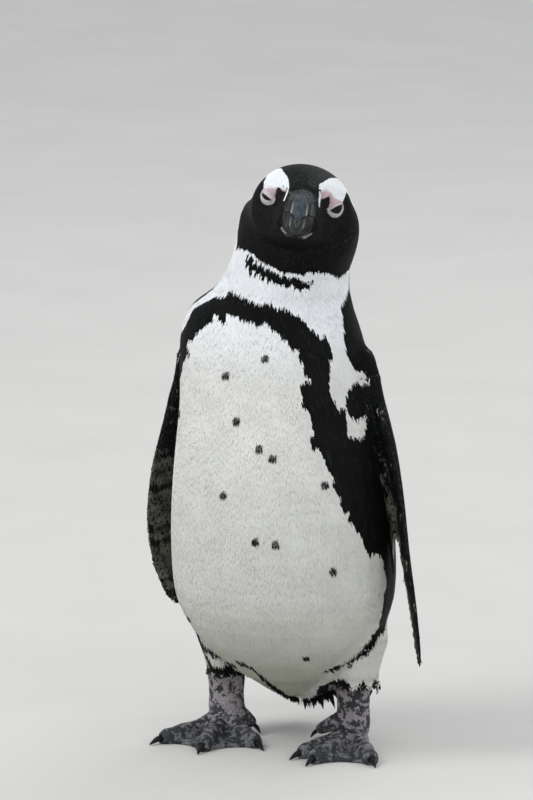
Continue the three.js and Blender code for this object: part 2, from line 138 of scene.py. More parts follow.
def on_flipper(p, side):
    """Share of the length, share of the half chord from the middle to the leading edge, and share of
    the thickness towards the body."""
    start, along, lead, face, length = flipper_frame(side)
    q = p - start
    t = (q @ along) / length
    plan = np.array(FLIPPER_PLAN)
    half, thick, sweep = (np.interp(t, plan[:, 0], plan[:, k]) for k in (1, 2, 3))
    return t, ((q @ lead) - sweep) / half, side * (q @ face) / thick


def hermite(rows, t):
    """Smooth interpolation of a table's columns over its first one."""
    rows = np.asarray(rows, float)
    t = np.clip(np.asarray(t, float), rows[0, 0], rows[-1, 0])
    slope = np.empty_like(rows)
    slope[1:-1] = (rows[2:] - rows[:-2]) / (rows[2:, :1] - rows[:-2, :1])
    slope[0] = (rows[1] - rows[0]) / (rows[1, 0] - rows[0, 0])
    slope[-1] = (rows[-1] - rows[-2]) / (rows[-1, 0] - rows[-2, 0])
    i = np.clip(np.searchsorted(rows[:, 0], t, side="right") - 1, 0, len(rows) - 2)
    step = rows[i + 1, 0] - rows[i, 0]
    s = ((t - rows[i, 0]) / step)[:, None]
    step = step[:, None]
    return (
        (2 * s**3 - 3 * s**2 + 1) * rows[i]
        + (s**3 - 2 * s**2 + s) * step * slope[i]
        + (3 * s**2 - 2 * s**3) * rows[i + 1]
        + (s**3 - s**2) * step * slope[i + 1]
    )[:, 1:]


def waves(p, scale, seed):
    """Smooth seeded noise from about -1 to 1, with lumps of about `scale` millimetres."""
    made = np.random.default_rng(seed)
    total = np.zeros(len(p))
    for _ in range(5):
        direction = unit(made.normal(size=3)) * (2 * math.pi / (scale * made.uniform(1.6, 2.6)))
        total += np.sin(p @ direction + made.uniform(0, 6.28))
    return total / 2.6


# ---- Markings ----
# Outlines in degrees round the body, from its front, and millimetres of height.
BAND_OUTER = [
    (86, 56), (86, 63.8), (86.7, 69.4), (88.7, 74), (90.6, 79.2), (94.9, 84.8), (101.9, 89.1),
    (106.4, 93.2), (108, 100), (107.5, 124), (112, 140), (116, 180), (112, 215), (92, 236), (80.6, 241),
    (80.6, 234.9), (79.1, 231.8), (73.1, 230.2), (69.5, 228.4), (65.3, 232.5), (63.1, 227.7), (63.5, 233.1),
    (63.2, 241.3), (65.1, 249.2), (63, 252.9), (60.4, 250.1), (58.7, 253.3), (58.2, 257.6), (56.2, 259),
    (56.4, 269), (58.4, 275.5), (59.6, 280.9), (62.5, 286.5), (62.5, 291.8), (61.1, 297.5), (59.8, 300.3),
    (55.3, 298.4), (52.4, 303.5), (47, 307.6), (45.4, 310.4), (40.1, 314.9), (35.6, 313.8), (32.7, 317.8),
    (23.4, 318.9), (18.5, 318.8), (15.2, 322.1), (8.3, 322.4), (-2.2, 322), (-10.2, 324.4), (-25.8, 326.2),
    (-33.1, 328.4), (-38.5, 327.4), (-36.7, 323.8), (-43.1, 322.5), (-49.5, 323.5), (-54.8, 321.1),
    (-58.3, 318.4), (-62.5, 315.3), (-65.7, 311.3), (-67.7, 306.8), (-68, 302.6), (-67, 298.9), (-74, 293),
    (-77, 290), (-87, 283), (-88.5, 277.5), (-88, 270), (-90, 262), (-96, 250), (-105, 236), (-112, 215),
    (-116, 180), (-112, 140), (-107, 124), (-105, 110), (-105, 87), (-99, 77), (-96, 66), (-95, 46),
]
BAND_INNER = [
    (-91, 46), (-91, 61), (-96, 76), (-100, 95), (-99, 112), (-96, 132), (-94.5, 150), (-93.5, 180),
    (-93, 220), (-93, 242), (-90, 250), (-80, 257), (-70, 262), (-61, 268.6), (-60.2, 274.7),
    (-55.9, 280.3), (-52, 282.1), (-55.1, 285.1), (-58, 288), (-57.3, 291.1), (-52.3, 291.5),
    (-51.6, 296.2), (-47.3, 299.8), (-43.8, 304.2), (-38.5, 306), (-41, 310.8), (-35.4, 309.7),
    (-30.3, 306.8), (-26.1, 308.3), (-30.2, 312.4), (-23.6, 312.4), (-16.8, 311.1), (-9.7, 309.3),
    (-1.8, 309.7), (1.9, 307.1), (6.4, 308.9), (11.9, 308.5), (16.1, 303.7), (19.1, 302.6), (23.4, 301.6),
    (24.9, 298.3), (28.9, 296.8), (31.4, 295.1), (33.1, 291.3), (38.1, 291.6), (37, 285.2), (40.3, 283),
    (40.3, 278.6), (41.6, 274.2), (44.9, 271.9), (39, 269.3), (36.7, 267.2), (38.4, 261), (37, 254.9),
    (40.4, 252), (42, 247.6), (43.3, 244.2), (42.8, 239.7), (43.6, 236.3), (41.2, 233), (41.5, 224.5),
    (45.3, 225.3), (47.1, 220.8), (48.8, 215.6), (50.6, 209.4), (53.2, 204.9), (50.8, 201.1), (53.2, 195.5),
    (55.3, 190.9), (55, 185.8), (56.9, 180.3), (59.8, 180.8), (58.8, 174.9), (63, 170.7), (64.3, 165.3),
    (67.2, 159.5), (68.6, 154), (71, 146.4), (74.7, 148.4), (78.6, 148.1), (82.1, 141.9), (85.7, 137.3),
    (82.1, 136.5), (86.2, 128.3), (87.2, 120.8), (84.5, 116.1), (87, 108.1), (88.5, 100.3), (92.5, 91.6),
    (93, 86), (89.1, 81.3), (88, 76), (86.5, 71.6), (85.2, 66.6), (84, 58),
]
# Degrees from 0 to 360, so that the back is one outline.
BACK = [
    (150, 374), (138, 356), (118, 346), (109, 338), (103.8, 328), (90.8, 322.7), (81.3, 316.9),
    (80.8, 311.6), (78.7, 305), (76.1, 296.1), (74.3, 289.5), (75.1, 283.8), (76.8, 278.1), (80.4, 274.2),
    (84.5, 271.5), (85.5, 267.6), (85.5, 264.2), (84.5, 260.9), (80.4, 262.6), (80.3, 265.5), (78.7, 266.9),
    (73.7, 266.1), (69.3, 263.1), (66.3, 258.5), (65, 253.5), (65.9, 248.4), (68.3, 244.7), (71.6, 241.8),
    (76.1, 242.7), (80.1, 244.3), (84, 240), (92, 225), (108, 170), (108, 138), (113, 120), (124, 100),
    (136, 78), (150, 52), (158, 20), (202, 20), (210, 52), (224, 78), (236, 100), (247, 120), (252, 138),
    (252, 170), (250, 225), (256, 240), (265, 250), (268, 262), (268.5, 272), (269, 280), (273, 288),
    (279, 296), (280, 302), (280.5, 308), (285, 314), (288, 319), (288, 326), (280, 334), (262, 345),
    (230, 356), (210, 374),
]
# Outlines on the head, in degrees of longitude without its sign, and of latitude: the upper edge of
# the pink skin, the white from the brow to the throat, the skin before the eye, the white line along
# the bill, and the lids.
PINK_TOP = {
    1: [(61, 18.5), (54, 21.5), (44.5, 25.3), (38, 28.5), (31, 30), (24, 27.6), (17.8, 24.3)],
    -1: [(61, 15.5), (52.7, 18.4), (47, 21.4), (36.6, 22.4), (28.6, 22.6), (21.2, 20.6), (18, 19.5)],
}
BROW = {
    1: PINK_TOP[1] + [
        (16.6, 24), (17.2, 26.7), (18.2, 32.6), (22, 35.5), (31, 41.3), (44.5, 48.5), (66, 52.4), (91, 52),
        (112, 46), (132, 32), (142, 10), (140, -12), (132, -40), (118, -60), (100, -60), (112, -40),
        (118, -22), (112, -8), (104, 2), (99, 12), (90, 24), (83, 34), (76, 31), (71, 27.5), (65, 22),
    ],
    -1: PINK_TOP[-1] + [
        (16.8, 20), (18.5, 24.5), (21, 29), (24.5, 33), (29.2, 37.2), (36, 41.5), (45.8, 46.4), (58, 50),
        (71, 51.3), (91, 51), (112, 46), (132, 32), (144, 10), (142, -12), (132, -40), (118, -60),
        (106, -60), (109, -35), (113, -22), (117, -8), (124, 0), (118, 4), (108, 10), (101, 17), (94, 27),
        (84, 36), (73, 30.2), (68.6, 24.3), (64.4, 19.1),
    ],
}
LORES = [
    (33, 6), (34.2, 8.8), (35, 13.5), (34.8, 18.2), (32.7, 20.3), (29, 17.9), (24.6, 15.5), (21, 13.8),
    (19, 13.4),
]
LORE_LINE = {
    1: [(17.6, 23), (17.4, 15), (17.6, 10), (18.4, 4.8), (20.2, 4.5), (20, 9), (20.2, 13), (21.5, 20)],
    -1: [(17, 22), (16.2, 15), (16.4, 10), (17.5, 4.8), (19.3, 4.5), (18.9, 9), (18.6, 13), (19, 20)],
}
LID_EDGE = [
    (33, 6), (34, 2), (38.5, -1.3), (45, -2.5), (50, -2), (55, 0.5), (59, 5.5), (61, 11), (61.3, 18),
    (57, 18.5), (50, 15.5), (44, 11.5), (38, 8.5),
]
# The lower edge of the black throat, the black line under it, and the breast's spots, in degrees
# round the body and height.
THROAT_EDGE = [
    (-180, 372), (-150, 368), (-130, 361), (-100, 356), (-55, 355.1), (-33, 357.6), (-19.4, 357.3),
    (-10.5, 355.5), (-1.7, 352.8), (8.3, 349.7), (18.2, 346.9), (28.2, 344.8), (39.3, 343.6), (61.7, 343.2),
    (70, 343.2), (75.4, 340.2), (82.5, 338.4), (88.8, 339.8), (96.8, 341.6), (109.6, 342.8), (118, 344),
    (135, 356), (150, 368), (180, 372),
]
COLLAR = [(-15, 350.2), (-7, 346.5), (9.5, 342.6), (23.3, 339.6), (35, 337.4), (46, 335)]
SPOTS = [
    (11.9, 285.3), (-16.5, 272.2), (-4.7, 242), (11.2, 224.7), (19.3, 218.7), (-9.5, 191.1), (10.4, 160.9),
    (21.3, 159.2), (50.3, 139.9), (43.5, 74.1), (-53, 93.9), (-61.5, 237.5), (47, 200.3),
]
# Black lines under the belly, as paths of points in millimetres with the half width in each.
EDGES = {
    "right_flank": [
        (-60, -22, 98, 0.8), (-57.5, -20, 91, 0.9), (-53.6, -17.8, 84.8, 1.0), (-57, -6, 77, 1.0),
        (-60.5, 6, 71.5, 1.8), (-57, 8, 66.5, 2.4), (-52.7, 5.7, 63.8, 2.2), (-45.8, 4.4, 61.1, 2.0),
        (-38, 4, 57, 2.5), (-28, -4, 58, 2.8), (-21.7, -15, 61, 2.4),
    ],
    "right_blot": [(-12, -27, 64, 2.2), (-8, -27, 64, 2.2)],
    "belly_rim": [
        (-4, -26.6, 63, 1.0), (-1, -21.3, 57.8, 1.1), (1.2, -15.9, 53.3, 1.3), (3.5, -9, 47.7, 1.6),
        (6.3, -3, 43, 2.0), (7.8, 4, 38.5, 2.4), (11.7, 9.3, 36.9, 2.6), (12.8, 17.7, 34.5, 2.6),
        (20.6, 26.2, 33.5, 2.6), (29.2, 23.7, 38, 2.8), (36, 25, 38.6, 2.8),
    ],
    "left_flank": [
        (76, 26, 95, 3.0), (75, 21, 89.1, 2.8), (74, 13.5, 85.3, 2.4), (71.5, 8.5, 80.2, 2.0),
        (67.5, 6, 75, 1.8), (62.8, 4, 70, 1.6), (57.8, 3.6, 64.6, 1.4),
    ],
    "left_thigh": [(44, -1, 59.5, 1.4), (48.5, 1.5, 61.8, 1.6), (53, 2.5, 62.5, 1.6), (57.8, 3.6, 64.6, 1.6)],
    "left_blot": [(51.5, 4.5, 60, 1.0), (55.2, 1.2, 66, 1.1)],
}
# Black at the root of the left flipper: how far out, and between which heights.
SHOULDER = {"out": 71.5, "low": 232, "high": 300}
COLLAR_HALF, GAPE_HALF = 3.4, 0.65  # half widths of those lines
HEM_TOP = 49.5  # the black hem above each foot
HEAD_FROM = 345  # the coat above this height is in the head's pieces
FLIPPER_FROM = 0.13  # share of a flipper's length from which it has its own colours

# Strokes at the two corners of the mouth, left and up from the middle of the head.
GAPE_STROKES = (
    [(-10.2, -17.6), (-9.0, -19.6), (-7.0, -20.4)],
    [(5.6, -21.0), (8.0, -20.2), (10.6, -17.9)],
)

# ---- Colours ----
GAPE = np.array([0.26, 0.26, 0.25])
BLACK = np.array([0.0034, 0.0038, 0.0037])
# Pale tips of the black feathers, also used brighter on the crown as painted sheen.
PALE_TIP_AND_SHEEN = np.array([0.016, 0.020, 0.020])
BLACK_WARM = np.array([0.0075, 0.0068, 0.0040])
NECK_WHITE = np.array([0.87, 0.885, 0.90])
BELLY_WHITE = np.array([0.725, 0.722, 0.680])
PINK = np.array([0.47, 0.345, 0.375])
LID = np.array([0.50, 0.47, 0.50])
TARSUS = np.array([0.275, 0.245, 0.260])
TOE = np.array([0.130, 0.130, 0.142])
OLIVE = np.array([0.30, 0.29, 0.235])
FLIPPER_RIM = np.array([0.42, 0.42, 0.38])
HORN_BASE = np.array([0.0050, 0.0055, 0.0058])
HORN_FLECK = np.array([0.15, 0.158, 0.158])
HORN_STRIPE = np.array([0.04, 0.043, 0.047])
HORN_NAIL = np.array([0.050, 0.061, 0.074])
HORN_LOWER = np.array([0.036, 0.041, 0.036])
HORN_RIM = np.array([0.36, 0.37, 0.35])
CLAW_HORN = np.array([0.016, 0.017, 0.019])


def inside(outline, x, y):
    """Which points lie in an outline."""
    within = np.zeros(np.shape(x), bool)
    points = outline + outline[:1]
    for (x0, y0), (x1, y1) in zip(points, points[1:]):
        if y0 == y1:
            continue
        crosses = (y0 > y) != (y1 > y)
        within ^= crosses & (x < (x1 - x0) * (y - y0) / (y1 - y0) + x0)
    return within


def near_line(line, x, y, across):
    """Distance in millimetres from a line in degrees and height, `across` millimetres to a degree."""
    best = np.full(np.shape(x), 1e9)
    for (x0, y0), (x1, y1) in zip(line, line[1:]):
        dx, dy = (x1 - x0) * across, y1 - y0
        px, py = (x - x0) * across, y - y0
        s = np.clip((px * dx + py * dy) / (dx * dx + dy * dy), 0, 1)
        best = np.minimum(best, np.hypot(px - s * dx, py - s * dy))
    return best


def near_path(path, p):
    """Distance from a path in space, as a share of its half width there."""
    best = np.full(len(p), 1e9)
    path = np.asarray(path, float)
    for a, b in zip(path, path[1:]):
        way = b[:3] - a[:3]
        s = np.clip(((p - a[:3]) @ way) / (way @ way), 0, 1)
        far = np.linalg.norm(p - a[:3] - s[:, None] * way, axis=1)
        best = np.minimum(best, far / (a[3] + s * (b[3] - a[3])))
    return best


def by_side(lon, of_side):
    """What holds for the left side where the longitude is positive, and for the right elsewhere."""
    return np.where(lon > 0, of_side(1), of_side(-1))


def bare_face(p):
    """Which points are on the bare skin over the eyes, and which on the lids."""
    lon, lat = on_face(p)
    front = to_head(p)[:, 0] > 12
    below = LORES[::-1] + [(38, 8), (44, 11), (50, 15), (57, 18)]
    pink = by_side(lon, lambda side: inside(PINK_TOP[side] + below, np.abs(lon), lat))
    return pink & front, inside(LID_EDGE, np.abs(lon), lat) & front


def at_gape(flu):
    """Which points are on the pale strokes at the corners of the mouth."""
    off = np.minimum(*(near_line(stroke, flu[:, 1], flu[:, 2], 1.0) for stroke in GAPE_STROKES))
    return (off < GAPE_HALF) & (flu[:, 0] > 38) & (flu[:, 0] < 75)


def body_black(p):
    """Which points of the neck and body have black plumage."""
    azimuth, height = round_body(p)
    azimuth = azimuth + 0.6 * waves(p, 4, 3)
    height = height + 0.6 * waves(p, 4, 4)
    band = inside(BAND_OUTER + BAND_INNER, azimuth, height)
    back = inside(BACK, azimuth % 360, height)
    off_collar = near_line(COLLAR, azimuth, height, 0.62) / (COLLAR_HALF + 0.5 * waves(p, 6, 8))
    collar = off_collar + 0.55 * waves(p, 1.8, 9) * smoothstep(off_collar, 0.3, 0.8) < 1.0
    low = height < 110
    edge = np.zeros(len(p), bool)
    for path in EDGES.values():
        edge[low] |= near_path(path, p[low]) < 1.35 + 0.4 * waves(p[low], 4, 10)
    hem_top = HEM_TOP - 2.5 * (p[:, 0] > 0) + 2.5 * waves(p, 5, 11)
    hem = (leg_distance(p) < 26) & (height < hem_top) & (waves(p, 9, 12) < 0.9)
    outside = p[:, 0] - BODY_AXIS[0] > SHOULDER["out"]
    shoulder = outside & (height > SHOULDER["low"]) & (height < SHOULDER["high"])
    return band | back | collar | edge | hem | shoulder


def is_head(p):
    """Which points are over the lower edge of the black throat."""
    azimuth, height = round_body(p)
    edge = np.interp(azimuth, *zip(*THROAT_EDGE))
    return height + 0.7 * waves(p, 4, 5) > edge


def plumage_tint(p, vary=True):
    """The colour of the feathers that grow at these points."""
    n = len(p)
    azimuth, height = round_body(p)
    black = body_black(p)
    lon, lat = on_face(p)
    ragged_lon = np.abs(lon) + 0.7 * waves(p, 3, 6)
    ragged_lat = lat + 0.7 * waves(p, 3, 7)
    head = is_head(p)
    head_white = by_side(lon, lambda side: inside(BROW[side], ragged_lon, ragged_lat))
    head_white |= by_side(lon, lambda side: inside(LORE_LINE[side], np.abs(lon), lat))
    white = np.where(head, head_white, ~black)
    # The white turns yellower and greyer down the body. Under the belly it is darkened and greened further:
    # painted shade where the body turns down, away from the light.
    neck = smoothstep(height, 262, 318)[:, None]
    whites = mix(BELLY_WHITE, NECK_WHITE, neck)
    # under: painted shade, strongest at the bottom of the belly and fading up the body and towards the flanks
    under = np.interp(height, [36, 60, 85, 115, 160, 230], [1.0, 0.78, 0.46, 0.27, 0.18, 0.0])
    under = under * (1 - 0.75 * smoothstep(np.abs(azimuth), 72, 92))
    whites = whites * (1 - under[:, None] * np.array([0.60, 0.58, 0.66]))
    shade = 1 + 0.02 * waves(p, 14, 12)
    blacks = BLACK * (1 + 0.25 * waves(p, 10, 13))[:, None]
    flu = to_head(p)
    if vary:
        shade = shade * rng.uniform(0.98, 1.01, n)
        mixed = rng.random(n)
        warm = np.where(head & (flu[:, 2] < 12), 0.55, 0.25)[:, None] * rng.random((n, 1))
        blacks = mix(blacks, BLACK_WARM, warm)
        # Pale tips on the black feathers. On the crown there are more of them and they are brighter: painted
        # sheen where the light falls on the top of the head.
        crown = head & (flu[:, 2] > 12) & (flu[:, 0] < 50)
        pale_tips_and_sheen = PALE_TIP_AND_SHEEN * rng.uniform(0.4, 1.0, (n, 1)) * np.where(crown, 1.6, 0.8)[:, None]
        blacks = np.where((mixed > np.where(crown, 0.62, 0.9))[:, None], pale_tips_and_sheen, blacks)
    tint = np.where(white[:, None], whites * shade[:, None], blacks)
    return np.where(at_gape(flu)[:, None], GAPE, tint)


def flipper_tint(p, side):
    """The colour of a flipper's scale-like feathers."""
    t, c, m = on_flipper(p, side)
    n = len(p)
    mottle = waves(p, 7, 21 + side) + 0.6 * waves(p, 3, 23) + 0.35 * rng.normal(size=n)
    lengthwise = smoothstep(t, 0.25, 0.5) * (1 - smoothstep(t, 0.9, 1.0))
    if side > 0:
        light_zone = smoothstep(c, -0.95, -0.75) * (1 - smoothstep(c, -0.1, 0.35))
    else:
        light_zone = smoothstep(c, -0.4, 0.1)
    pale = (m > 0) & (mottle > 1.25 - 1.75 * light_zone * lengthwise)
    dots = waves(p, 2.0, 25) > 0.75
    tint = BLACK * (1.15 + 0.3 * waves(p, 9, 26))[:, None] * rng.uniform(0.7, 1.6, (n, 1))
    tint = np.where((rng.random(n) > 0.82)[:, None], PALE_TIP_AND_SHEEN * 1.1, tint)
    olive = OLIVE * rng.uniform(0.55, 1.15, (n, 1)) * (0.85 + 0.3 * waves(p, 6, 27))[:, None]
    olive = olive * (1.0 if side > 0 else 0.45)
    tint = np.where((pale & ~dots)[:, None], olive, tint)
    rim = ((c < -0.9) & (t > 0.2)) | ((c > 0.955) & (m > -0.1) & (t > 0.3) & (side < 0))
    return np.where(rim[:, None], FLIPPER_RIM * rng.uniform(0.7, 1.2, (n, 1)), tint)


# ---- Zones ----
def flipper_side(p):
    """1 or -1 on a flipper, 0 elsewhere."""
    found = np.zeros(len(p), int)
    for side in SIDES:
        t, c, m = on_flipper(p, side)
        on = (t > 0.05) & (t < 1.04) & (np.abs(c) < 1.12) & (np.abs(m) < 1.55)
        found[on & (side * p[:, 0] > 50)] = side
    return found


def leg_distance(p):
    """How far each point is from the nearer leg's upright axis."""
    return np.minimum(*(np.hypot(p[:, 0] - x, p[:, 1] - y) for x, y in LEGS.values()))


def is_bare(p):
    """Which points are on the feet and tarsi."""
    return (p[:, 2] < 29) | ((leg_distance(p) < 18.5) & (p[:, 2] < 47.5))


COAT = {"body": 1.5, "nape": 0.9, "face": 0.45, "flipper": 0.7}  # depth over the skin


def coat_depth(p):
    """How far the skin lies under the tips of the feathers."""
    flu = to_head(p)
    head = smoothstep(p[:, 2], 335, 362)
    face = smoothstep(flu[:, 0], 5, 38)
    depth = mix(COAT["body"], mix(COAT["nape"], COAT["face"], face), head)
    depth = np.where(flipper_side(p) != 0, COAT["flipper"], depth)
    bare = 1 - smoothstep(p[:, 2], 40, 50)
    near_leg = leg_distance(p) < 20
    return np.where(near_leg | (p[:, 2] < 29), depth * (1 - bare), depth)


# ---- Meshes ----
def arrays_of(obj):
    """Vertices in millimetres, and triangles."""
    me = obj.data
    v = np.empty(len(me.vertices) * 3, np.float32)
    me.vertices.foreach_get("co", v)
    me.calc_loop_triangles()
    t = np.empty(len(me.loop_triangles) * 3, np.int32)
    me.loop_triangles.foreach_get("vertices", t)
    return v.reshape(-1, 3).astype(float) / MM, t.reshape(-1, 3)


def welded(v, t):
    """Vertices in the same place become one."""
    _, first, which = np.unique(np.round(v, 3), axis=0, return_index=True, return_inverse=True)
    return v[first], which.reshape(-1)[t]


def vertex_normals(v, t):
    face = np.cross(v[t[:, 1]] - v[t[:, 0]], v[t[:, 2]] - v[t[:, 0]])
    n = np.zeros_like(v)
    for k in range(3):
        for axis in range(3):
            n[:, axis] += np.bincount(t[:, k], face[:, axis], len(v))
    return unit(n)


def mesh_object(name, v, faces):
    """A mesh from points in millimetres and faces as an array of triangles or quads."""
    me = bpy.data.meshes.new(name)
    faces = np.asarray(faces, np.int32)
    size = faces.shape[1]
    me.vertices.add(len(v))
    me.vertices.foreach_set("co", (np.asarray(v) * MM).astype(np.float32).ravel())
    me.loops.add(faces.size)
    me.loops.foreach_set("vertex_index", faces.ravel())
    me.polygons.add(len(faces))
    me.polygons.foreach_set("loop_start", np.arange(0, faces.size, size, dtype=np.int32))
    me.polygons.foreach_set("use_smooth", np.full(len(faces), True))
    me.update(calc_edges=True)
    obj = bpy.data.objects.new(name, me)
    bpy.context.scene.collection.objects.link(obj)
    return obj


def paint(obj, tint):
    """Stores a colour at each vertex, for the materials to build on."""
    layer = obj.data.color_attributes.new("tint", "FLOAT_COLOR", "POINT")
    rgba = np.ones((len(tint), 4), np.float32)
    rgba[:, :3] = np.clip(tint, 0, 1)
    layer.data.foreach_set("color", rgba.ravel())


def measure(obj, values, name):
    """Stores a number at each vertex."""
    layer = obj.data.attributes.new(name, "FLOAT", "POINT")
    layer.data.foreach_set("value", np.asarray(values, np.float32))


def applied(obj):
    """The object with its modifiers made part of its mesh."""
    bpy.context.view_layer.update()
    done = bpy.data.meshes.new_from_object(obj.evaluated_get(bpy.context.evaluated_depsgraph_get()))
    obj.modifiers.clear()
    obj.data = done
    return obj


def weight_group(obj, name, weights):
    """A vertex group with the weights in steps of a tenth."""
    group = obj.vertex_groups.new(name=name)
    level = np.round(np.clip(weights, 0, 1) * 10).astype(int)
    for k in range(1, 11):
        group.add(np.nonzero(level == k)[0].tolist(), k / 10, "REPLACE")


def ring_quads(rings, around):
    """Quads between each ring of points and the next."""
    k = np.arange(around)
    start = around * np.arange(rings - 1)[:, None]
    a, b = start + k, start + (k + 1) % around
    return np.stack([a, b, b + around, a + around], -1).reshape(-1, 4)


def fan(centre, start, around, flip=False):
    """Triangles from one point to the sides of a ring."""
    sides = [(start + i, start + (i + 1) % around) for i in range(around)]
    return [[centre, b, a] if flip else [centre, a, b] for a, b in sides]


def bake_map(obj, faces, uv):
    """The OFBake map, from a place for each vertex."""
    layer = obj.data.uv_layers.new(name="OFBake")
    layer.data.foreach_set("uv", uv[faces.ravel()].astype(np.float32).ravel())


# ---- Skin ----
PAIRED = [f"{part}_{word}" for part in ("flipper", "leg", "foot") for word in SIDES.values()]
FLESH = ["torso", "neck", "head"] + PAIRED
VOXEL = 1.1
SWELL = 0.25  # closes the gaps between the flesh nodes before they fuse


def fused_flesh():
    """One closed surface round the flesh nodes, smoothed where they join."""
    parts, faces, count = [], [], 0
    for name in FLESH + ["eye_left", "eye_right"]:
        v, t = welded(*arrays_of(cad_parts[name]))
        v = v + vertex_normals(v, t) * SWELL
        parts.append(v)
        faces.append(t + count)
        count += len(v)
    for rows in (UPPER_BILL, LOWER_BILL):  # fills the socket of the bill
        flu, t, _ = horn_half(rows, rows is UPPER_BILL)
        flu = (flu - BILL_ROOT) * np.array([1, 1.06, 1.06]) + BILL_ROOT
        flu[:, 0] = np.minimum(flu[:, 0], 48.2)
        parts.append(from_head(flu))
        faces.append(t + count)
        count += len(flu)
    obj = mesh_object("skin", np.concatenate(parts), np.concatenate(faces))
    remesh = obj.modifiers.new("fuse", "REMESH")
    remesh.mode = "VOXEL"
    remesh.voxel_size = VOXEL * MM
    applied(obj)
    v, _ = arrays_of(obj)
    sides = flipper_side(v)
    height, forward = v[:, 2], to_head(v)[:, 0]
    head = smoothstep(height, 335, 365)
    soft = 1 - 0.75 * head
    # The nape runs into the back of the head, and the shoulders into the flippers' roots.
    joint = head * smoothstep(forward, -60, -30) * (1 - smoothstep(forward, 2, 16))
    for side in SIDES:
        share = on_flipper(v, side)[0]
        soft = np.where(sides == side, 0.25 + 0.75 * (1 - smoothstep(share, 0.08, 0.22)), soft)
        root = smoothstep(height, 235, 255) * (1 - smoothstep(height, 308, 325))
        root = root * smoothstep(side * v[:, 0], 50, 60)
        joint = np.maximum(joint, root * (1 - smoothstep(share, 0.1, 0.22)))
    soft = np.where(is_bare(v) | (height < 30), 0.2, soft)
    for group, weights, rounds in (("soft", soft, 22), ("joint", joint, 200)):
        weight_group(obj, group, weights)
        smooth = obj.modifiers.new("relax_" + group, "SMOOTH")
        smooth.factor = 0.5
        smooth.iterations = rounds // 1
        smooth.vertex_group = group
    return applied(obj)


def settle_skin(obj):
    """Sinks the skin under the coat and under the eyes."""
    v, t = arrays_of(obj)
    n = vertex_normals(v, t)
    v = v - n * (coat_depth(v) + SWELL)[:, None]
    for side in SIDES:
        centre, _, _, out = eye_axes(side)
        reach = np.linalg.norm(v - centre, axis=1)
        way = unit(v - centre)
        polar = np.degrees(np.arccos(np.clip(way @ out, -1, 1)))
        bed = EYE["radius"] - 0.9 + 1.45 * smoothstep(polar, 50, 57)
        kept = smoothstep(polar, 57, 86)
        near = (reach < 26) & (polar < 86)
        v[near] = (centre + way * mix(bed, reach, kept)[:, None])[near]
    return v, t


# ---- Eyes and lids ----
def eye_axes(side):
    """Centre, and the directions across, up and out of the eye."""
    turn = math.radians(EYE["turn"])
    centre = from_head([EYE["forward"], side * EYE["lateral"], EYE["up"]])
    out = head_direction([math.cos(turn), side * math.sin(turn), 0.0])
    back = head_direction([-math.sin(turn), side * math.cos(turn), 0.0])
    return centre, back, head_direction([0.0, 0.0, 1.0]), out


# The edges of each opening, across and up from the eye's axis: the upper one from the back
# forward, then the lower one from the front back.
EYE_OPENING = 1.1  # scale of both openings
LIDS_OUT = 8.2  # radius of the ring of skin round each opening
OPENINGS = {
    1: (
        [(3.0, 3.1), (1.2, 2.8), (-1.1, 1.9), (-3.9, 0.1), (-5.9, -2.2)],
        [
            (-5.9, -2.2), (-4.4, -3.1), (-2.4, -3.4), (-0.3, -3.2), (1.1, -2.2), (2.1, -0.4), (3.0, 1.4),
            (3.0, 3.1),
        ],
    ),
    -1: (
        [(4.1, 1.4), (2.0, 0.95), (0, 0.4), (-2.7, -0.8), (-5.6, -2.8)],
        [(-5.6, -2.8), (-3.5, -3.15), (-1.2, -2.8), (0.9, -1.6), (2.6, 0), (4.1, 1.4)],
    ),
}


def curve_through(points, count):
    """Evenly spaced points along one edge of an opening."""
    points = np.array(points, float) * EYE_OPENING
    run = np.append(0, np.cumsum(np.linalg.norm(np.diff(points, axis=0), axis=1)))
    return hermite(np.column_stack([run, points]), np.linspace(0, run[-1], count, endpoint=False))


def lid_shell(side):
    """Both lids as one ring: a rounded rim on the eyeball, then skin that sinks into the face."""
    around = 64
    slit = np.concatenate([curve_through(edge, around // 2) for edge in OPENINGS[side]])
    a = np.linspace(0, 2 * math.pi, around, endpoint=False)
    outer = LIDS_OUT * np.stack([np.cos(a), np.sin(a)], 1)
    centre, back, up, out = eye_axes(side)
    r = EYE["radius"]
    profile = [(0.0, -0.3), (0.0, 0.3), (0.02, 0.7), (0.06, 0.95), (0.13, 1.0), (0.2, 0.85)]
    profile += [(x, 0.8 + 0.12 * math.sin(x * 40)) for x in np.linspace(0.28, 0.84, 8)]
    profile += [(0.92, 0.6), (1.0, -0.4)]
    rows = []
    for share, lift in profile:
        plane = mix(slit, outer, share)
        reach = np.linalg.norm(plane, axis=1, keepdims=True)
        way = (plane[:, :1] * back + plane[:, 1:] * up) / np.maximum(reach, 1e-6)
        rows.append(centre + (r + lift) * (np.sin(reach / r) * way + np.cos(reach / r) * out))
    v = np.concatenate(rows)
    quads = ring_quads(len(rows), around)
    if side < 0:
        quads = quads[:, ::-1]
    share = np.repeat([x for x, _ in profile], around)
    tint, _, _ = skin_tints(v)
    tint = np.where((share < 0.25)[:, None], LID, tint)
    # The lid's inner edge, where it meets the eyeball, is darkened to a quarter: painted shade in that
    # crease.
    return v, quads, tint * np.where(share < 0.01, 0.25, 1.0)[:, None]


IRIS_FROM, IRIS_TO = 0.32, 0.72  # radians from the eye's axis


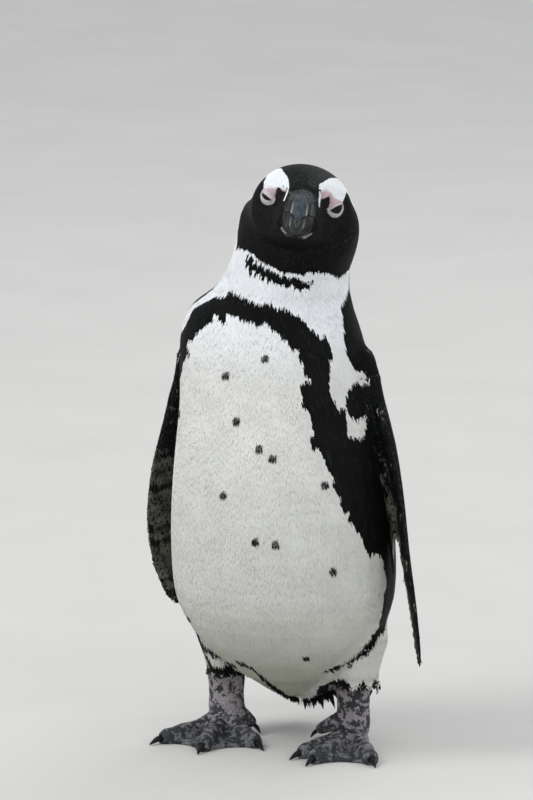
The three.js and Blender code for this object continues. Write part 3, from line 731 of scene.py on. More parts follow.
def eyeball(side):
    """A ball with a low bulge in front, a pupil and a streaked iris."""
    rings, around = 28, 40
    centre, back, up, out = eye_axes(side)
    r = EYE["radius"]
    polar = np.linspace(0, math.pi, rings + 1)[1:-1]
    turn = np.linspace(0, 2 * math.pi, around, endpoint=False)
    dark = (0.002, 0.002, 0.002)
    v, tint = [centre + r * out], [dark]
    for p in polar:
        bulge = r + 0.25 * max(0.0, 1 - (p / 0.75) ** 2)
        for a in turn:
            way = math.cos(a) * back + math.sin(a) * up
            v.append(centre + bulge * (math.sin(p) * way + math.cos(p) * out))
            iris = IRIS_FROM < p < IRIS_TO
            streak = 0.8 + 0.4 * math.sin(a * 17) * math.sin(a * 5 + 1)
            tint.append((0.014 * streak, 0.008 * streak, 0.005 * streak) if iris else dark)
    v.append(centre - r * out)
    tint.append((0.003, 0.003, 0.003))
    quads = 1 + ring_quads(len(polar), around)
    tris = np.stack([quads[:, [0, 3, 2]], quads[:, [0, 2, 1]]], 1).reshape(-1, 3)
    base = 1 + (len(polar) - 1) * around
    faces = np.concatenate([fan(0, 1, around), tris, fan(len(v) - 1, base, around, flip=True)])
    if side < 0:
        faces = faces[:, ::-1]
    return np.array(v), faces, np.array(tint)


# ---- Bill ----
# Forward, half width, lowest and highest of each section, in the head's frame.
UPPER_BILL = [
    (34, 11.9, -6.3, 11.4), (46, 10.9, -6.3, 10.6), (56, 9.0, -6.4, 8.8), (68, 7.3, -6.6, 7.1),
    (80, 6.2, -7.2, 6.4), (87, 5.7, -8.2, 5.6), (93, 5.0, -10, 3.2), (97.5, 3.7, -11.8, -0.6),
    (101, 2.3, -13.2, -5), (103.3, 1.0, -13.7, -9),
]
LOWER_BILL = [
    (34, 11.5, -22, -6.8), (46, 10.6, -21.8, -6.8), (56, 9, -21.4, -6.9), (68, 7.2, -21.4, -7.2),
    (80, 6.1, -21.9, -7.8), (87, 5.4, -21.6, -8.8), (92, 4.5, -19.8, -10.4), (95.5, 3.2, -17.2, -12),
    (97.5, 1.6, -15.2, -13),
]


NAIL_FROM = 84.5  # forward of the head's origin
NOSTRIL = {"forward": 64, "up": 0.8, "long": 3.6, "high": 0.75, "deep": 1.1}


def horn_half(rows, upper):
    """One half of the bill as a closed loft forward from the face, with its plates and grooves."""
    around, steps = 56, 110
    t = np.linspace(rows[0][0], rows[-1][0], steps)
    half, low, high = hermite(rows, t).T
    turn = np.linspace(0, 2 * math.pi, around, endpoint=False)
    ring_x, ring_y = np.cos(turn), np.sin(turn)
    round_power, flat_power = 2 / 2.2, 2 / 30
    power = np.where((ring_y > 0) == upper, round_power, flat_power)
    bow_x = np.sign(ring_x) * np.abs(ring_x) ** power
    bow_y = np.sign(ring_y) * np.abs(ring_y) ** power
    f = np.repeat(t, around)
    mid, span = (low + high) / 2, (high - low) / 2
    l = (half[:, None] * bow_x).ravel()
    u = (mid[:, None] + span[:, None] * bow_y).ravel()
    share = (u - np.repeat(low, around)) / np.repeat(high - low, around)
    if upper:
        hooked = 0.55 * smoothstep(f, 84, 95) * np.clip(1 - share, 0, 1) ** 3
        l *= 1 - 0.34 * np.clip(share, 0, 1) ** 2 - hooked
    else:
        l *= 1 - 0.4 * np.clip(1 - share, 0, 1) ** 2
    angle = np.tile(np.degrees(np.arctan2(ring_y, np.abs(ring_x))), steps)
    p = np.stack([f, l, u], 1)
    outward = unit(np.stack([np.zeros(len(f)), l, u - np.repeat(mid, around)], 1))
    groove_at = 38 - 16 * smoothstep(f, 50, 84) if upper else -34 + 8 * smoothstep(f, 50, 84)
    groove = bell(angle - groove_at, 6) * smoothstep(f, 46, 52) * (1 - smoothstep(f, 84, 88))
    nail_edge = bell(f - NAIL_FROM + 0.10 * (angle - 40), 0.9)
    ridges = 0.10 * np.sin(f * 2.3 + 0.8 * np.sin(angle * 0.11)) + 0.12 * waves(p, 2.2, 31 + upper)
    rough = (1 - smoothstep(f, 48, 74)) * ridges + 0.05 * waves(p, 1.6, 33)
    nail = 0.22 * smoothstep(f, NAIL_FROM, 86)
    p = p + outward * (rough + nail - 0.5 * groove - 0.35 * nail_edge)[:, None]
    if upper:
        for side in SIDES:
            slot = bell(f - NOSTRIL["forward"], NOSTRIL["long"], 4) * bell(u - NOSTRIL["up"], NOSTRIL["high"])
            p[:, 1] -= side * NOSTRIL["deep"] * slot * (side * l > 0)
    quads = ring_quads(steps, around)[:, [0, 3, 2, 1]]
    tris = np.concatenate([quads[:, [0, 1, 2]], quads[:, [0, 2, 3]]])
    ends = [p[:around].mean(0), p[-around:].mean(0)]
    caps = fan(len(p), 0, around) + fan(len(p) + 1, (steps - 1) * around, around, flip=True)
    p = np.concatenate([p, ends])
    tris = np.concatenate([tris, caps])
    return p, tris, bill_tint(p, np.append(angle, [0, 0]), upper)


def bill_tint(p, angle, upper):
    """The colour of the horn: flecked at its base, with pale rims round the nail and the tip."""
    f, l, u = p.T
    out = np.abs(l)
    fleck = smoothstep(waves(p, 1.5, 41) + 0.6 * waves(p, 0.9, 42), 0.3, 0.7)
    base = HORN_BASE * (1 + 0.35 * waves(p, 3, 43))[:, None]
    wrinkled = 0.8 * (fleck * (1 - smoothstep(f, 62, 78)))[:, None]
    if not upper:
        wrinkled = wrinkled * (np.abs(angle) < 75)[:, None]
    tint = mix(base, HORN_FLECK, wrinkled)
    stripe = bell(f - 81.5, 3.0) * (np.abs(angle) < 60)
    tint = mix(tint, HORN_STRIPE, 0.3 * stripe[:, None])
    if upper:
        blue = HORN_NAIL * (1 + 0.25 * waves(p * np.array([0.4, 1.5, 1]), 2.5, 44))[:, None]
        tint = mix(tint, blue, smoothstep(f, 84, 87)[:, None])
        rim = 0.7 * smoothstep(out, 4.5, 5.1) * smoothstep(f, 84, 86) * (1 - smoothstep(u, -2.5, 0.5))
    else:
        fork = np.abs(out - 2.6 * (1 + (u + 10.5) / 7.5)) < 0.45
        rim = 0.2 * (fork & (u > -17.5)) * smoothstep(f, 84, 87)
        edge = 0.5 * smoothstep(out, 4.0, 4.7) * smoothstep(f, 84, 86) * (1 - smoothstep(u, -12.5, -11))
        rim = np.maximum(rim, edge)
        front = (smoothstep(f, 78, 88) * (1 - smoothstep(out, 4.4, 5.2)))[:, None]
        tint = mix(tint, HORN_LOWER, front)
        tint = np.where(at_gape(p)[:, None], GAPE, tint)
    return mix(tint, HORN_RIM, rim[:, None])


flesh = fused_flesh()
skin_v, skin_t = settle_skin(flesh)
skin_n = vertex_normals(skin_v, skin_t)
SKIN_TREE = BVHTree.FromPolygons(skin_v.tolist(), skin_t.tolist())
bpy.data.objects.remove(flesh)


# ---- Feathers ----
def scatter(cell, keep):
    """Roots spread evenly over the skin, one to each `cell` square millimetres. Both take points."""
    a, b, c = (skin_v[skin_t[:, k]] for k in range(3))
    middle = (a + b + c) / 3
    area = np.linalg.norm(np.cross(b - a, c - a), axis=1) / 2
    wanted = np.where(keep(middle), area / cell(middle), 0)
    total = np.cumsum(wanted)
    count = int(total[-1])
    marks = np.arange(count) + rng.random(count) * 0.9
    face = np.minimum(np.searchsorted(total, marks), len(total) - 1)
    u, v = rng.random((2, len(face)))
    flip = u + v > 1
    u, v = np.where(flip, 1 - u, u), np.where(flip, 1 - v, v)
    w = 1 - u - v

    def spread(values):
        at = values[skin_t[face]]
        return at[:, 0] * w[:, None] + at[:, 1] * u[:, None] + at[:, 2] * v[:, None]

    return spread(skin_v), unit(spread(skin_n))


def lie_of_coat(p, n):
    """The way the feathers point: back from the bill, down the body and out along the flippers."""
    down = np.tile([0.0, 0.22, -1.0], (len(p), 1))
    belly = smoothstep(-n[:, 2], 0.35, 0.9)[:, None] * (p[:, 2] < 120)[:, None]
    down = mix(down, np.array([0.0, 1.0, -0.25]), belly)
    flu = to_head(p)
    from_bill = unit(head_direction(flu - BILL_ROOT))
    nape = smoothstep(-flu[:, 0], -18, 22)[:, None]
    throat = smoothstep(-flu[:, 2], 14, 38)[:, None] * 0.8
    over_head = from_bill + np.array([0.0, 0.0, -1.0]) * np.maximum(nape, throat)
    head = smoothstep(p[:, 2], 338, 366)[:, None]
    way = mix(down, unit(over_head), head)
    sides = flipper_side(p)
    for side in SIDES:
        _, along, lead, _, _ = flipper_frame(side)
        way[sides == side] = along - 0.22 * lead
    swirl = np.stack([waves(p, 22, 51), waves(p, 22, 52), np.zeros(len(p))], 1) * 0.10
    way = way + swirl + rng.normal(size=p.shape) * 0.07
    return unit(way - n * (way * n).sum(1, keepdims=True))


def nearest_skin(points):
    """The nearest place on the skin to each point, and its normal."""
    found = [SKIN_TREE.find_nearest(q) for q in points.tolist()]
    return np.array([f[0] for f in found]), np.array([f[1] for f in found])


def settled_tips(p, n, way, length, rise, follow):
    """Where the feathers' tips end when they follow the skin below them."""
    free = p + way * length[:, None] + n * rise[:, None]
    place, normal = nearest_skin(free)
    usable = (np.linalg.norm(place - free, axis=1) < 7) & ((normal * n).sum(1) > -0.3)
    tips = place + normal * rise[:, None]
    return mix(free, tips, np.where(usable, follow, 0.0)[:, None])


# Each feather has a root, three points across where it is widest, and a tip.
WIDEST = 0.42  # share of the length
LIFTED = 0.66  # share of the rise that it has there
SUNK = 0.45  # millimetres
FEATHER_FACES = np.array([(1, 2, 0), (2, 3, 0), (3, 1, 0), (4, 2, 1), (4, 3, 2), (4, 1, 3)])
FEATHER_SHADE = np.array([0.92, 0.99, 0.99, 0.99, 1.03])
PATCH = 0.0015  # half the size of a feather's patch in its OFBake map
PLACE_IN_PATCH = np.array([(0, -1), (-1, WIDEST * 2 - 1), (0, WIDEST * 2 - 1), (1, WIDEST * 2 - 1), (0, 1)])


def feather_mesh(name, p, n, way, tips, length, width, thick, rise, tint, uv, round_off=0.3):
    """Closed lancets with their root sunk in the skin. Sizes are per feather, in millimetres."""
    count = len(p)
    side = np.cross(n, way)
    sizes = (np.asarray(x, float) for x in (length, width, thick, rise))
    length, width, thick, rise = (np.broadcast_to(x, (count,))[:, None] for x in sizes)
    bend = tips - (p + way * length + n * rise)
    middle = p + way * length * WIDEST + n * rise * LIFTED + bend * WIDEST**2
    half = side * width / 2
    points = [p - n * SUNK, middle - half, middle + n * thick, middle + half, tips]
    normals = [n, n - round_off * side, n, n + round_off * side, n]
    faces = (np.arange(count)[:, None, None] * len(points) + FEATHER_FACES).reshape(-1, 3)
    obj = mesh_object(name, np.stack(points, 1).reshape(-1, 3), faces)
    paint(obj, (tint[:, None, :] * FEATHER_SHADE[:, None]).reshape(-1, 3))
    corner = np.stack(uv, -1)[:, None, :] * 0.98 + 0.01 + PLACE_IN_PATCH * PATCH
    bake_map(obj, faces, corner.reshape(-1, 2))
    normals = unit(np.stack(normals, 1).reshape(-1, 3))
    obj.data.normals_split_custom_set_from_vertices(normals.astype(np.float32))
    return obj


def bill_hole(p):
    """Roots under the bill, or inside the hollow that it sits in."""
    f, l, u = to_head(p).T
    wide = np.interp(u, [-22, -14, -6, 0, 6, 9, 10.8], [7.2, 10, 10.7, 10.3, 8.8, 6.2, 0])
    return (f > 40) & (np.abs(l) < wide) & (u > -22) & (u < 10.8)


def feathered(p):
    """Where feathers grow."""
    pink, lids = bare_face(p)
    bare = is_bare(p) | bill_hole(p) | pink | lids
    for side in SIDES:
        centre, _, _, out = eye_axes(side)
        bare |= np.linalg.norm(p - (centre + EYE["radius"] * out), axis=1) < 7.2
    return ~bare


FEATHERS = {"body": (7.6, 1.35), "nape": (4.6, 1.0), "face": (2.0, 0.66), "flipper": (3.8, 1.15)}
LONG_HEM = 3.5  # added to the length under the belly


def feather_size(p):
    """Length and width of the feathers."""
    flu = to_head(p)
    head = smoothstep(p[:, 2], 330, 364)
    face = smoothstep(flu[:, 0], -6, 36)
    rows = zip(FEATHERS["body"], FEATHERS["nape"], FEATHERS["face"])
    length, width = (mix(body, mix(nape, fore, face), head) for body, nape, fore in rows)
    length = length + LONG_HEM * (1 - smoothstep(p[:, 2], 58, 92))
    flip = flipper_side(p) != 0
    return np.where(flip, FEATHERS["flipper"][0], length), np.where(flip, FEATHERS["flipper"][1], width)


CELL = 0.56  # area to each feather, in squares of its width


def cell_area(p):
    """Square millimetres of skin to each feather."""
    _, width = feather_size(p)
    return CELL * width**2


# ---- Materials ----
def fill(tree, node, inputs):
    """Gives a node's inputs their value, or links them to the output that they are given."""
    for key, value in inputs.items():
        if isinstance(value, bpy.types.NodeSocket):
            tree.links.new(value, node.inputs[key])
        else:
            node.inputs[key].default_value = value


def add_node(tree, kind, inputs, **settings):
    node = tree.nodes.new("ShaderNode" + kind)
    for key, value in settings.items():
        setattr(node, key, value)
    fill(tree, node, inputs)
    return node.outputs


def noise(tree, scale, detail=3.0, rough=0.5, stretch=None):
    place = add_node(tree, "TexCoord", {})["Object"]
    if stretch:
        place = add_node(tree, "Mapping", {"Scale": stretch, "Vector": place})["Vector"]
    inputs = {"Scale": scale, "Detail": detail, "Roughness": rough, "Vector": place}
    return add_node(tree, "TexNoise", inputs)["Fac"]


def ranged(tree, source, low, high, to_low, to_high):
    inputs = {"Value": source, "From Min": low, "From Max": high, "To Min": to_low, "To Max": to_high}
    return add_node(tree, "MapRange", inputs)["Result"]


def scaled(tree, colour, factor):
    """Colour times a number."""
    return add_node(tree, "VectorMath", {0: colour, "Scale": factor}, operation="SCALE")["Vector"]


def bump(tree, height, strength, distance):
    inputs = {"Height": height, "Strength": strength, "Distance": distance}
    return add_node(tree, "Bump", inputs)["Normal"]


def stored(tree, name="tint"):
    """What `paint` or `measure` stored at the vertices."""
    return add_node(tree, "Attribute", {}, attribute_name=name)


def material(name, inputs_of):
    """A material whose own shader has the inputs that `inputs_of` makes in its tree."""
    made = bpy.data.materials.new(name)
    made.use_nodes = True
    tree = made.node_tree
    fill(tree, tree.nodes["Principled BSDF"], inputs_of(tree))
    return made


def plumage_look(tree):
    tint = stored(tree)
    barbs = noise(tree, 1500, 2.0, 0.6, (1, 1, 0.18))
    fine = ranged(tree, barbs, 0.3, 0.7, 0.92, 1.06)
    wide = ranged(tree, noise(tree, 60), 0.3, 0.7, 0.94, 1.04)
    return {
        "Base Color": scaled(tree, scaled(tree, tint["Color"], fine), wide),
        "Roughness": ranged(tree, tint["Fac"], 0.02, 0.4, 0.5, 0.85),
        "Specular IOR Level": 0.06,
        "Subsurface Weight": 0.22,
        "Subsurface Radius": (0.0035, 0.003, 0.0025),
        "Normal": bump(tree, barbs, 0.12, 0.0002),
    }


def skin_look(tree):
    """Bare skin, with dark blotches on the feet and creases between their scales."""
    blotches = noise(tree, 210, 5.0, 0.64)
    edge = add_node(tree, "Math", {0: blotches, 1: stored(tree, "blotched")["Fac"]}, operation="ADD")
    mask = ranged(tree, edge["Value"], 0.98, 1.03, 0.0, 1.0)
    small = ranged(tree, noise(tree, 900, 3.0, 0.6), 0.3, 0.7, 0.78, 1.18)
    plain = scaled(tree, stored(tree)["Color"], small)
    inputs = {"Factor": mask, "A": plain, "B": (0.013, 0.016, 0.019, 1)}
    colour = add_node(tree, "Mix", inputs, data_type="RGBA")["Result"]
    place = add_node(tree, "TexCoord", {})["Object"]
    cells = add_node(tree, "TexVoronoi", {"Scale": 620, "Vector": place})["Distance"]
    creases = add_node(tree, "Math", {0: cells, 1: stored(tree, "scaly")["Fac"]}, operation="MULTIPLY")
    return {
        "Base Color": colour,
        "Roughness": 0.58,
        "Subsurface Weight": 0.05,
        "Subsurface Radius": (0.002, 0.001, 0.0008),
        "Normal": bump(tree, creases["Value"], 0.9, -0.0007),
    }


def horn_look(tree, roughness):
    grain = noise(tree, 700, 4.0, 0.6, (1, 0.35, 1))
    return {
        "Base Color": scaled(tree, stored(tree)["Color"], ranged(tree, grain, 0.3, 0.7, 0.7, 1.25)),
        "Roughness": ranged(tree, grain, 0.3, 0.7, roughness - 0.08, roughness + 0.12),
        "Specular IOR Level": 0.06,
        "Normal": bump(tree, grain, 0.35, 0.0003),
    }


def eye_look(tree):
    fibres = ranged(tree, noise(tree, 2500, 2.0), 0.3, 0.7, 0.7, 1.3)
    return {
        "Base Color": scaled(tree, stored(tree)["Color"], fibres),
        "Roughness": 0.15,
        "Specular IOR Level": 0.12,
        "Coat Weight": 0.1,
        "Coat Roughness": 0.05,
    }


def floor_look(tree):
    grains = ranged(tree, noise(tree, 6, 6.0, 0.6), 0.3, 0.7, 0.97, 1.03)
    base = add_node(tree, "RGB", {})["Color"]
    base.default_value = (0.60, 0.585, 0.56, 1)
    return {"Base Color": scaled(tree, base, grains), "Roughness": 0.9}


PLUMAGE = material("plumage", plumage_look)


def dress(obj, mat):
    """Material and body of a piece."""
    obj.data.materials.clear()
    obj.data.materials.append(mat)
    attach(obj, "root")


# ---- The coat ----
LEVELS = {"low": (0, 130), "mid": (130, 235), "high": (235, 400)}
QUARTERS = ("front_left", "back_left", "back_right", "front_right")
TUFTS = 44  # in each spot of the breast
LOCK = 12  # hairs of the fringe that bend as one


def coat_pieces(p, sides):
    """For each piece its name, its feathers, their places in the OFBake map, and its slot."""
    azimuth, height = round_body(p)
    head = (height > HEAD_FROM) & (sides == 0)
    lon, lat = on_face(p)
    for side, word in SIDES.items():
        on = sides == side
        t, c, m = on_flipper(p[on], side)
        uv = (np.clip(c * 0.23 + np.where(m > 0, 0.25, 0.75), 0, 1), np.clip(t, 0, 1))
        yield f"plumage_flipper_{word}", on, uv, "plumage_black"
        on = head & (lon * side > 0)
        yield f"plumage_head_{word}", on, (np.abs(lon[on]) / 180, lat[on] / 180 + 0.5), "plumage_black"
    body = (sides == 0) & ~head
    for quarter, word in enumerate(QUARTERS):
        slot = "plumage_white" if word.startswith("front") else "plumage_black"
        for level, (low, high) in LEVELS.items():
            on = body & ((azimuth % 360) // 90 == quarter) & (height >= low) & (height < high)
            uv = ((azimuth[on] % 90) / 90, (height[on] - low) / (high - low))
            yield f"plumage_{level}_{word}", on, uv, slot


def plumage():
    """The feathers of the head, the body and the flippers."""
    p, n = scatter(cell_area, feathered)
    sides = flipper_side(p)
    way = lie_of_coat(p, n)
    count = len(p)
    length, width = feather_size(p)
    length = length * rng.uniform(0.8, 1.2, count)
    over_foot = (leg_distance(p) < 32) & (p[:, 2] < 75)
    short = np.maximum(p[:, 2] - 45.5, 2.5) + rng.uniform(0, 2.5, count)
    length = np.where(over_foot, np.minimum(length, short), length)
    width = width * rng.uniform(0.85, 1.2, count) * 1.0
    shown = p + way * length[:, None] * 0.75
    tint = plumage_tint(shown)
    for side in SIDES:
        on = (sides == side) & (on_flipper(p, side)[0] > FLIPPER_FROM)
        tint[on] = flipper_tint(shown[on], side)
        root = (sides == side) & ~on & (side * (p[:, 0] - BODY_AXIS[0]) > 66.5)
        tint[root] = BLACK * rng.uniform(0.8, 1.4, (int(root.sum()), 1))
    rise = np.clip(coat_depth(p) * rng.uniform(0.15, 0.32, count), 0.1, 2.0)
    thick = 0.06 + 0.04 * width
    follow = np.where(p[:, 2] < 60, 0.25, 1.0)
    tips = settled_tips(p, n, way, length, rise, follow)
    for name, on, uv, slot in coat_pieces(p, sides):
        shapes = (values[on] for values in (p, n, way, tips, length, width, thick, rise, tint))
        dress(feather_mesh(name, *shapes, uv, round_off=0.12), PLUMAGE)


def spots():
    """Small dark tufts over the white breast: each spot is darkest at its lower edge."""
    places, shares = [], []
    for azimuth, height in SPOTS:
        turn = math.radians(azimuth)
        way = Vector((math.sin(turn), -math.cos(turn), 0.0))
        middle, _, _, _ = SKIN_TREE.ray_cast(Vector((*BODY_AXIS, height)), way)
        for _ in range(TUFTS):
            share = rng.uniform(0, 1) ** 0.7
            across = np.cross([0, 0, 1.0], way) * np.clip(rng.normal(), -1.8, 1.8) * 1.35
            places.append(middle + Vector(across) + Vector((0, 0, 5.6 - 4.4 * share)))
            shares.append(share)
    share = np.array(shares)
    p, n = nearest_skin(np.array(places))
    way = lie_of_coat(p, n)
    p = p + n * 0.75
    length, width = rng.uniform(2.8, 4.2, len(p)), rng.uniform(0.4, 0.75, len(p))
    rise = rng.uniform(0.15, 0.45, len(p))
    grey = np.where(rng.random(len(p)) < 0.55 * (1 - share), 0.16, 0.012)
    tint = np.array([1.0, 0.98, 0.9]) * (grey * rng.uniform(0.7, 1.3, len(p)))[:, None]
    azimuth, height = round_body(p)
    tips = p + way * length[:, None] + n * rise[:, None]
    uv = ((azimuth + 90) / 180, height / 400)
    obj = feather_mesh("plumage_spots", p, n, way, tips, length, width, 0.08, rise, tint, uv)
    dress(obj, PLUMAGE)


def fringe():
    """Long black hairs along the rims of the belly: between the legs and on both flanks."""
    # Path, number of hairs, how freely they hang, and their length along the path.
    rims = (
        (EDGES["belly_rim"][2:], 420, 1.0, [2.5, 4.5, 8.5, 8.0]),
        (EDGES["left_flank"], 260, 0.35, [3.0, 4.5, 4.0, 3.0]),
        (EDGES["right_flank"], 340, 0.35, [2.0, 3.0, 3.5, 3.0]),
    )
    parts = []
    for path, count, hang, reach in rims:
        rim = np.array(path)[:, :3]
        s = np.sort(rng.uniform(0.05, 1, count)) * (len(rim) - 1.001)
        i = s.astype(int)
        base = rim[i] + (rim[i + 1] - rim[i]) * (s - i)[:, None] + rng.normal(size=(count, 3)) * 0.9
        length = np.repeat(rng.uniform(0.5, 1.15, count // LOCK + 1), LOCK)[:count]
        length = length * np.interp(s / (len(rim) - 1), [0, 0.35, 0.7, 1], reach)
        lock = np.repeat(rng.normal(size=(count // LOCK + 1, 2)) * 0.16, LOCK, 0)[:count]
        parts.append((base, length, lock, np.full(count, hang)))
    base, length, lock, hang = (np.concatenate(values) for values in zip(*parts))
    count = len(base)
    p, n = nearest_skin(base)
    hanging = np.column_stack([0.12 + lock[:, 0], 0.3 + lock[:, 1], -np.ones(count)])
    hanging = unit(hanging + rng.normal(size=(count, 3)) * 0.05)
    lying = unit(lie_of_coat(p, n) + np.column_stack([lock, np.zeros(count)]))
    way = unit(mix(lying, hanging, hang[:, None]))
    n = unit(n - way * (n * way).sum(1, keepdims=True))
    width, rise = rng.uniform(0.5, 0.9, count), rng.uniform(0.1, 0.5, count)
    tips = p + way * length[:, None] + n * rise[:, None]
    tint = BLACK * rng.uniform(0.9, 1.8, (count, 1))
    azimuth, height = round_body(p)
    uv = (((azimuth + 180) % 360) / 360, np.clip((height - 25) / 85, 0, 1))
    obj = feather_mesh("plumage_fringe", p, n, way, tips, length, width, 0.09, rise, tint, uv)
    dress(obj, PLUMAGE)


plumage()
spots()
fringe()


# ---- Skin object ----
def skin_tints(v):
    """The skin's colour, the share of blotches on it, and 1 where it is scaly."""
    tint = plumage_tint(v, vary=False)
    tint[flipper_side(v) != 0] = BLACK * 1.2
    lon, lat = on_face(v)
    pink, lids = bare_face(v)
    below = by_side(lon, lambda side: near_line(PINK_TOP[side], np.abs(lon), lat, 1.0))
    rosy = smoothstep(below, 0, 5)[:, None]
    blush = mix(NECK_WHITE * 0.85, PINK, rosy) * (1 + 0.12 * waves(v, 3, 61))[:, None]
    tint = np.where(pink[:, None], blush, tint)
    tint[lids] = LID
    bare = is_bare(v)
    toes = (1 - smoothstep(v[:, 2], 8, 20))[:, None]
    tint = np.where(bare[:, None], mix(TARSUS, TOE, toes), tint)
    out = np.minimum(*(np.hypot(v[:, 0] - x, v[:, 1] - (y - 12)) for x, y in LEGS.values()))
    dark = 0.50 + 0.02 * (1 - smoothstep(v[:, 2], 12, 24)) + 0.12 * smoothstep(out, 34, 56)
    return tint, np.where(bare, dark, 0.0), bare.astype(float)


def skin_object():
    """Skin and lids as one piece. Only the face and the feet keep all their triangles."""
    body = mesh_object("skin", skin_v, skin_t)
    lon, lat = on_face(skin_v)
    face = (np.abs(lon) < 75) & (np.abs(lat) < 45) & (skin_v[:, 2] > 350)
    weight_group(body, "coarse", np.where(is_bare(skin_v) | face, 0.0, 1.0))
    thin = body.modifiers.new("thin", "DECIMATE")
    thin.vertex_group = "coarse"
    thin.ratio = 0.35
    applied(body)
    v, t = arrays_of(body)
    bpy.data.objects.remove(body)
    tint, blotched, scaly = skin_tints(v)
    parts, faces, tints, count = [v], [t], [tint], len(v)
    for side in SIDES:
        lid_v, lid_quads, lid_tint = lid_shell(side)
        faces += [lid_quads[:, [0, 1, 2]] + count, lid_quads[:, [0, 2, 3]] + count]
        parts.append(lid_v)
        tints.append(lid_tint)
        count += len(lid_v)
    whole = mesh_object("skin", np.concatenate(parts), np.concatenate(faces))
    paint(whole, np.concatenate(tints))
    pad = np.zeros(count - len(v))
    measure(whole, np.append(blotched, pad), "blotched")
    measure(whole, np.append(scaly, pad), "scaly")
    dress(whole, material("bare_skin", skin_look))
    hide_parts(*FLESH)


skin_object()

HORN = material("horn", lambda tree: horn_look(tree, 0.5))
EYES = material("eye", eye_look)
for word, rows in (("upper", UPPER_BILL), ("lower", LOWER_BILL)):
    flu, tris, tint = horn_half(rows, word == "upper")
    bill = mesh_object(f"horn_bill_{word}", from_head(flu), tris)
    paint(bill, tint)
    dress(bill, HORN)
    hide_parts(f"bill_{word}")
for side, word in SIDES.items():
    v, tris, tint = eyeball(side)
    ball = mesh_object(f"eyeball_{word}", v, tris)
    paint(ball, tint)
    dress(ball, EYES)
    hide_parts(f"eye_{word}")

# ---- Tail ----
TAIL = {"root": (-0.8, 61.5, 58.0), "tip": (-9.8, 88.5, 7.0), "fan": 17.0, "spread": 11.0}
# Vanes in the tier, how deep it lies, and its share of the length.
TAIL_TIERS = [(8, -1.2, 1.0), (7, 1.4, 0.86)]


VANE_STEPS, VANE_COLUMNS = 12, 5


def vane_faces():
    """Triangles of one vane. Each of its rows has the points of the top and then of the underside."""
    ring = 2 * VANE_COLUMNS
    end = (VANE_STEPS - 1) * ring
    order = [*range(VANE_COLUMNS), *reversed(range(VANE_COLUMNS, ring))]
    faces = []
    for s in range(0, end, ring):
        for a, b in zip(order, order[1:] + order[:1]):
            faces += [[a + s, b + s, b + s + ring], [a + s, b + s + ring, a + s + ring]]
    pairs = list(zip(order[1:], order[2:]))
    faces += [[order[0], b, a] for a, b in pairs]
    faces += [[a + end, b + end, order[0] + end] for a, b in pairs]
    return np.array(faces)


def tail_vanes():
    """Stiff pointed feathers in two tiers, each a thin vane with a raised shaft."""
    root, tip = np.array(TAIL["root"]), np.array(TAIL["tip"])
    length = np.linalg.norm(tip - root)
    along = (tip - root) / length
    across = unit(np.array([1.0, 0, 0]) - along * along[0])
    inward = np.cross(along, across)
    shape = vane_faces()
    points, faces, tints, uvs, count = [], [], [], [], 0
    vary = np.random.default_rng(5)
    for tier, (vanes, depth, reach) in enumerate(TAIL_TIERS):
        for i in range(vanes):
            share = 2 * i / (vanes - 1) - 1
            turn = math.radians(TAIL["fan"] * share + vary.uniform(-1, 1))
            way = along * math.cos(turn) + across * math.sin(turn)
            side = across * math.cos(turn) - along * math.sin(turn)
            start = root + across * TAIL["spread"] * share + inward * (depth + 0.25 * (i % 2))
            long = length * reach * (1 - 0.2 * share**2) * (1 + 0.03 * vary.uniform(-1, 1))
            rows = []
            for s in np.linspace(-0.1, 1, VANE_STEPS):
                half = 3.6 * min(1.0, (1 - max(s, 0)) / 0.42) ** 0.75 + 0.05
                for layer in (1, -1):
                    for c in np.linspace(-1, 1, VANE_COLUMNS):
                        ridge = 0.55 * (1 - abs(c)) ** 2 * (1 - 0.6 * max(s, 0)) + 0.22 * (1 - c * c)
                        sag = 0.5 * abs(c) + 1.2 * max(s, 0) ** 2 * vary.uniform(0.9, 1.1)
                        lift = layer * (0.12 + ridge) * 0.9 - sag * 0.4
                        rows.append(start + way * long * s + side * half * c - inward * lift)
            rows = np.array(rows)
            points.append(rows)
            faces.append(shape + count)
            tints.append(np.tile(BLACK * vary.uniform(1.0, 1.9), (len(rows), 1)))
            middle = np.array([0.05 + 0.9 * (i + 0.5) / vanes, 0.25 + 0.5 * tier])
            spread = np.stack([rows @ side, rows @ way], 1)
            spread = (spread - spread.mean(0)) / np.abs(spread - spread.mean(0)).max()
            uvs.append(middle + spread * PATCH)
            count += len(rows)
    faces = np.concatenate(faces)
    obj = mesh_object("tail_vanes", np.concatenate(points), faces)
    paint(obj, np.concatenate(tints))
    bake_map(obj, faces, np.concatenate(uvs))
    dress(obj, PLUMAGE)
    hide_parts("tail")


tail_vanes()

# ---- Claws ----
CLAW = material("claw_horn", lambda tree: horn_look(tree, 0.38))
for name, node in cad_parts.items():
    if name.startswith("claw_"):
        claw = mesh_object(f"horn_{name}", *welded(*arrays_of(node)))
        rounder = claw.modifiers.new("round", "SUBSURF")
        rounder.levels = rounder.render_levels = 1
        applied(claw)
        v, _ = arrays_of(claw)
        paint(claw, CLAW_HORN * (1 + 0.4 * waves(v, 3, 71))[:, None])
        dress(claw, CLAW)
        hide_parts(name)

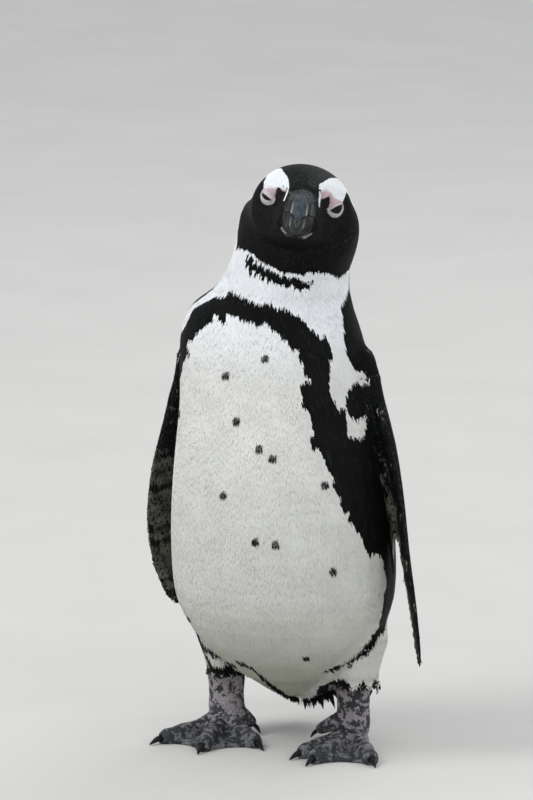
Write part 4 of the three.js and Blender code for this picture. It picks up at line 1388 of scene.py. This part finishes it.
# ---- Stage ----
CORNERS = np.array([(-1, -1, 0), (1, -1, 0), (1, 1, 0), (-1, 1, 0)]) * 20000.0
floor = mesh_object("floor", CORNERS, [[0, 1, 2, 3]])
floor.data.materials.append(material("floor", floor_look))

world = bpy.data.worlds.new("studio")
bpy.context.scene.world = world
world.use_nodes = True
background = world.node_tree.nodes["Background"]
fill(world.node_tree, background, {"Color": (0.93, 0.96, 1.0, 1), "Strength": 0.85})


def soft_light(name, at, aim, size, power):
    """A round area light in metres and watts."""
    light = bpy.data.lights.new(name, "AREA")
    light.shape, light.size, light.energy = "DISK", size, power
    obj = bpy.data.objects.new(name, light)
    bpy.context.scene.collection.objects.link(obj)
    obj.location = at
    obj.rotation_euler = (Vector(aim) - Vector(at)).to_track_quat("-Z", "Y").to_euler()


# Name, place, aim, size and power.
soft_light("key", (-1.5, -1.7, 2.6), (0, 0, 0.2), 1.6, 42)
soft_light("fill", (2.2, -1.2, 1.6), (0, 0, 0.2), 1.8, 12)
soft_light("rim", (0.6, 2.2, 2.2), (0, 0, 0.25), 1.4, 16)

# ---- Camera ----
VIEW_TURN, VIEW_DOWN = math.radians(24.0), math.radians(10.5)
VIEW_AIM = Vector((-0.00703, 0.00694, 0.248))
VIEW_DISTANCE = 4.0
FOCAL_LENGTH = 257.14  # millimetres, on a sensor 36 wide
right = Vector((math.cos(VIEW_TURN), math.sin(VIEW_TURN), 0))
level = math.cos(VIEW_DOWN)
ahead = Vector((-math.sin(VIEW_TURN) * level, math.cos(VIEW_TURN) * level, -math.sin(VIEW_DOWN)))
lens = bpy.data.cameras.new("view")
lens.sensor_width, lens.lens = 36.0, FOCAL_LENGTH
lens.clip_start, lens.clip_end = 0.1, 100.0
camera = bpy.data.objects.new("view", lens)
bpy.context.scene.collection.objects.link(camera)
turn = Matrix((right, right.cross(ahead), -ahead)).transposed().to_4x4()
camera.matrix_world = Matrix.Translation(VIEW_AIM - ahead * VIEW_DISTANCE) @ turn
bpy.context.scene.camera = camera
bpy.context.scene.view_settings.view_transform = "Standard"
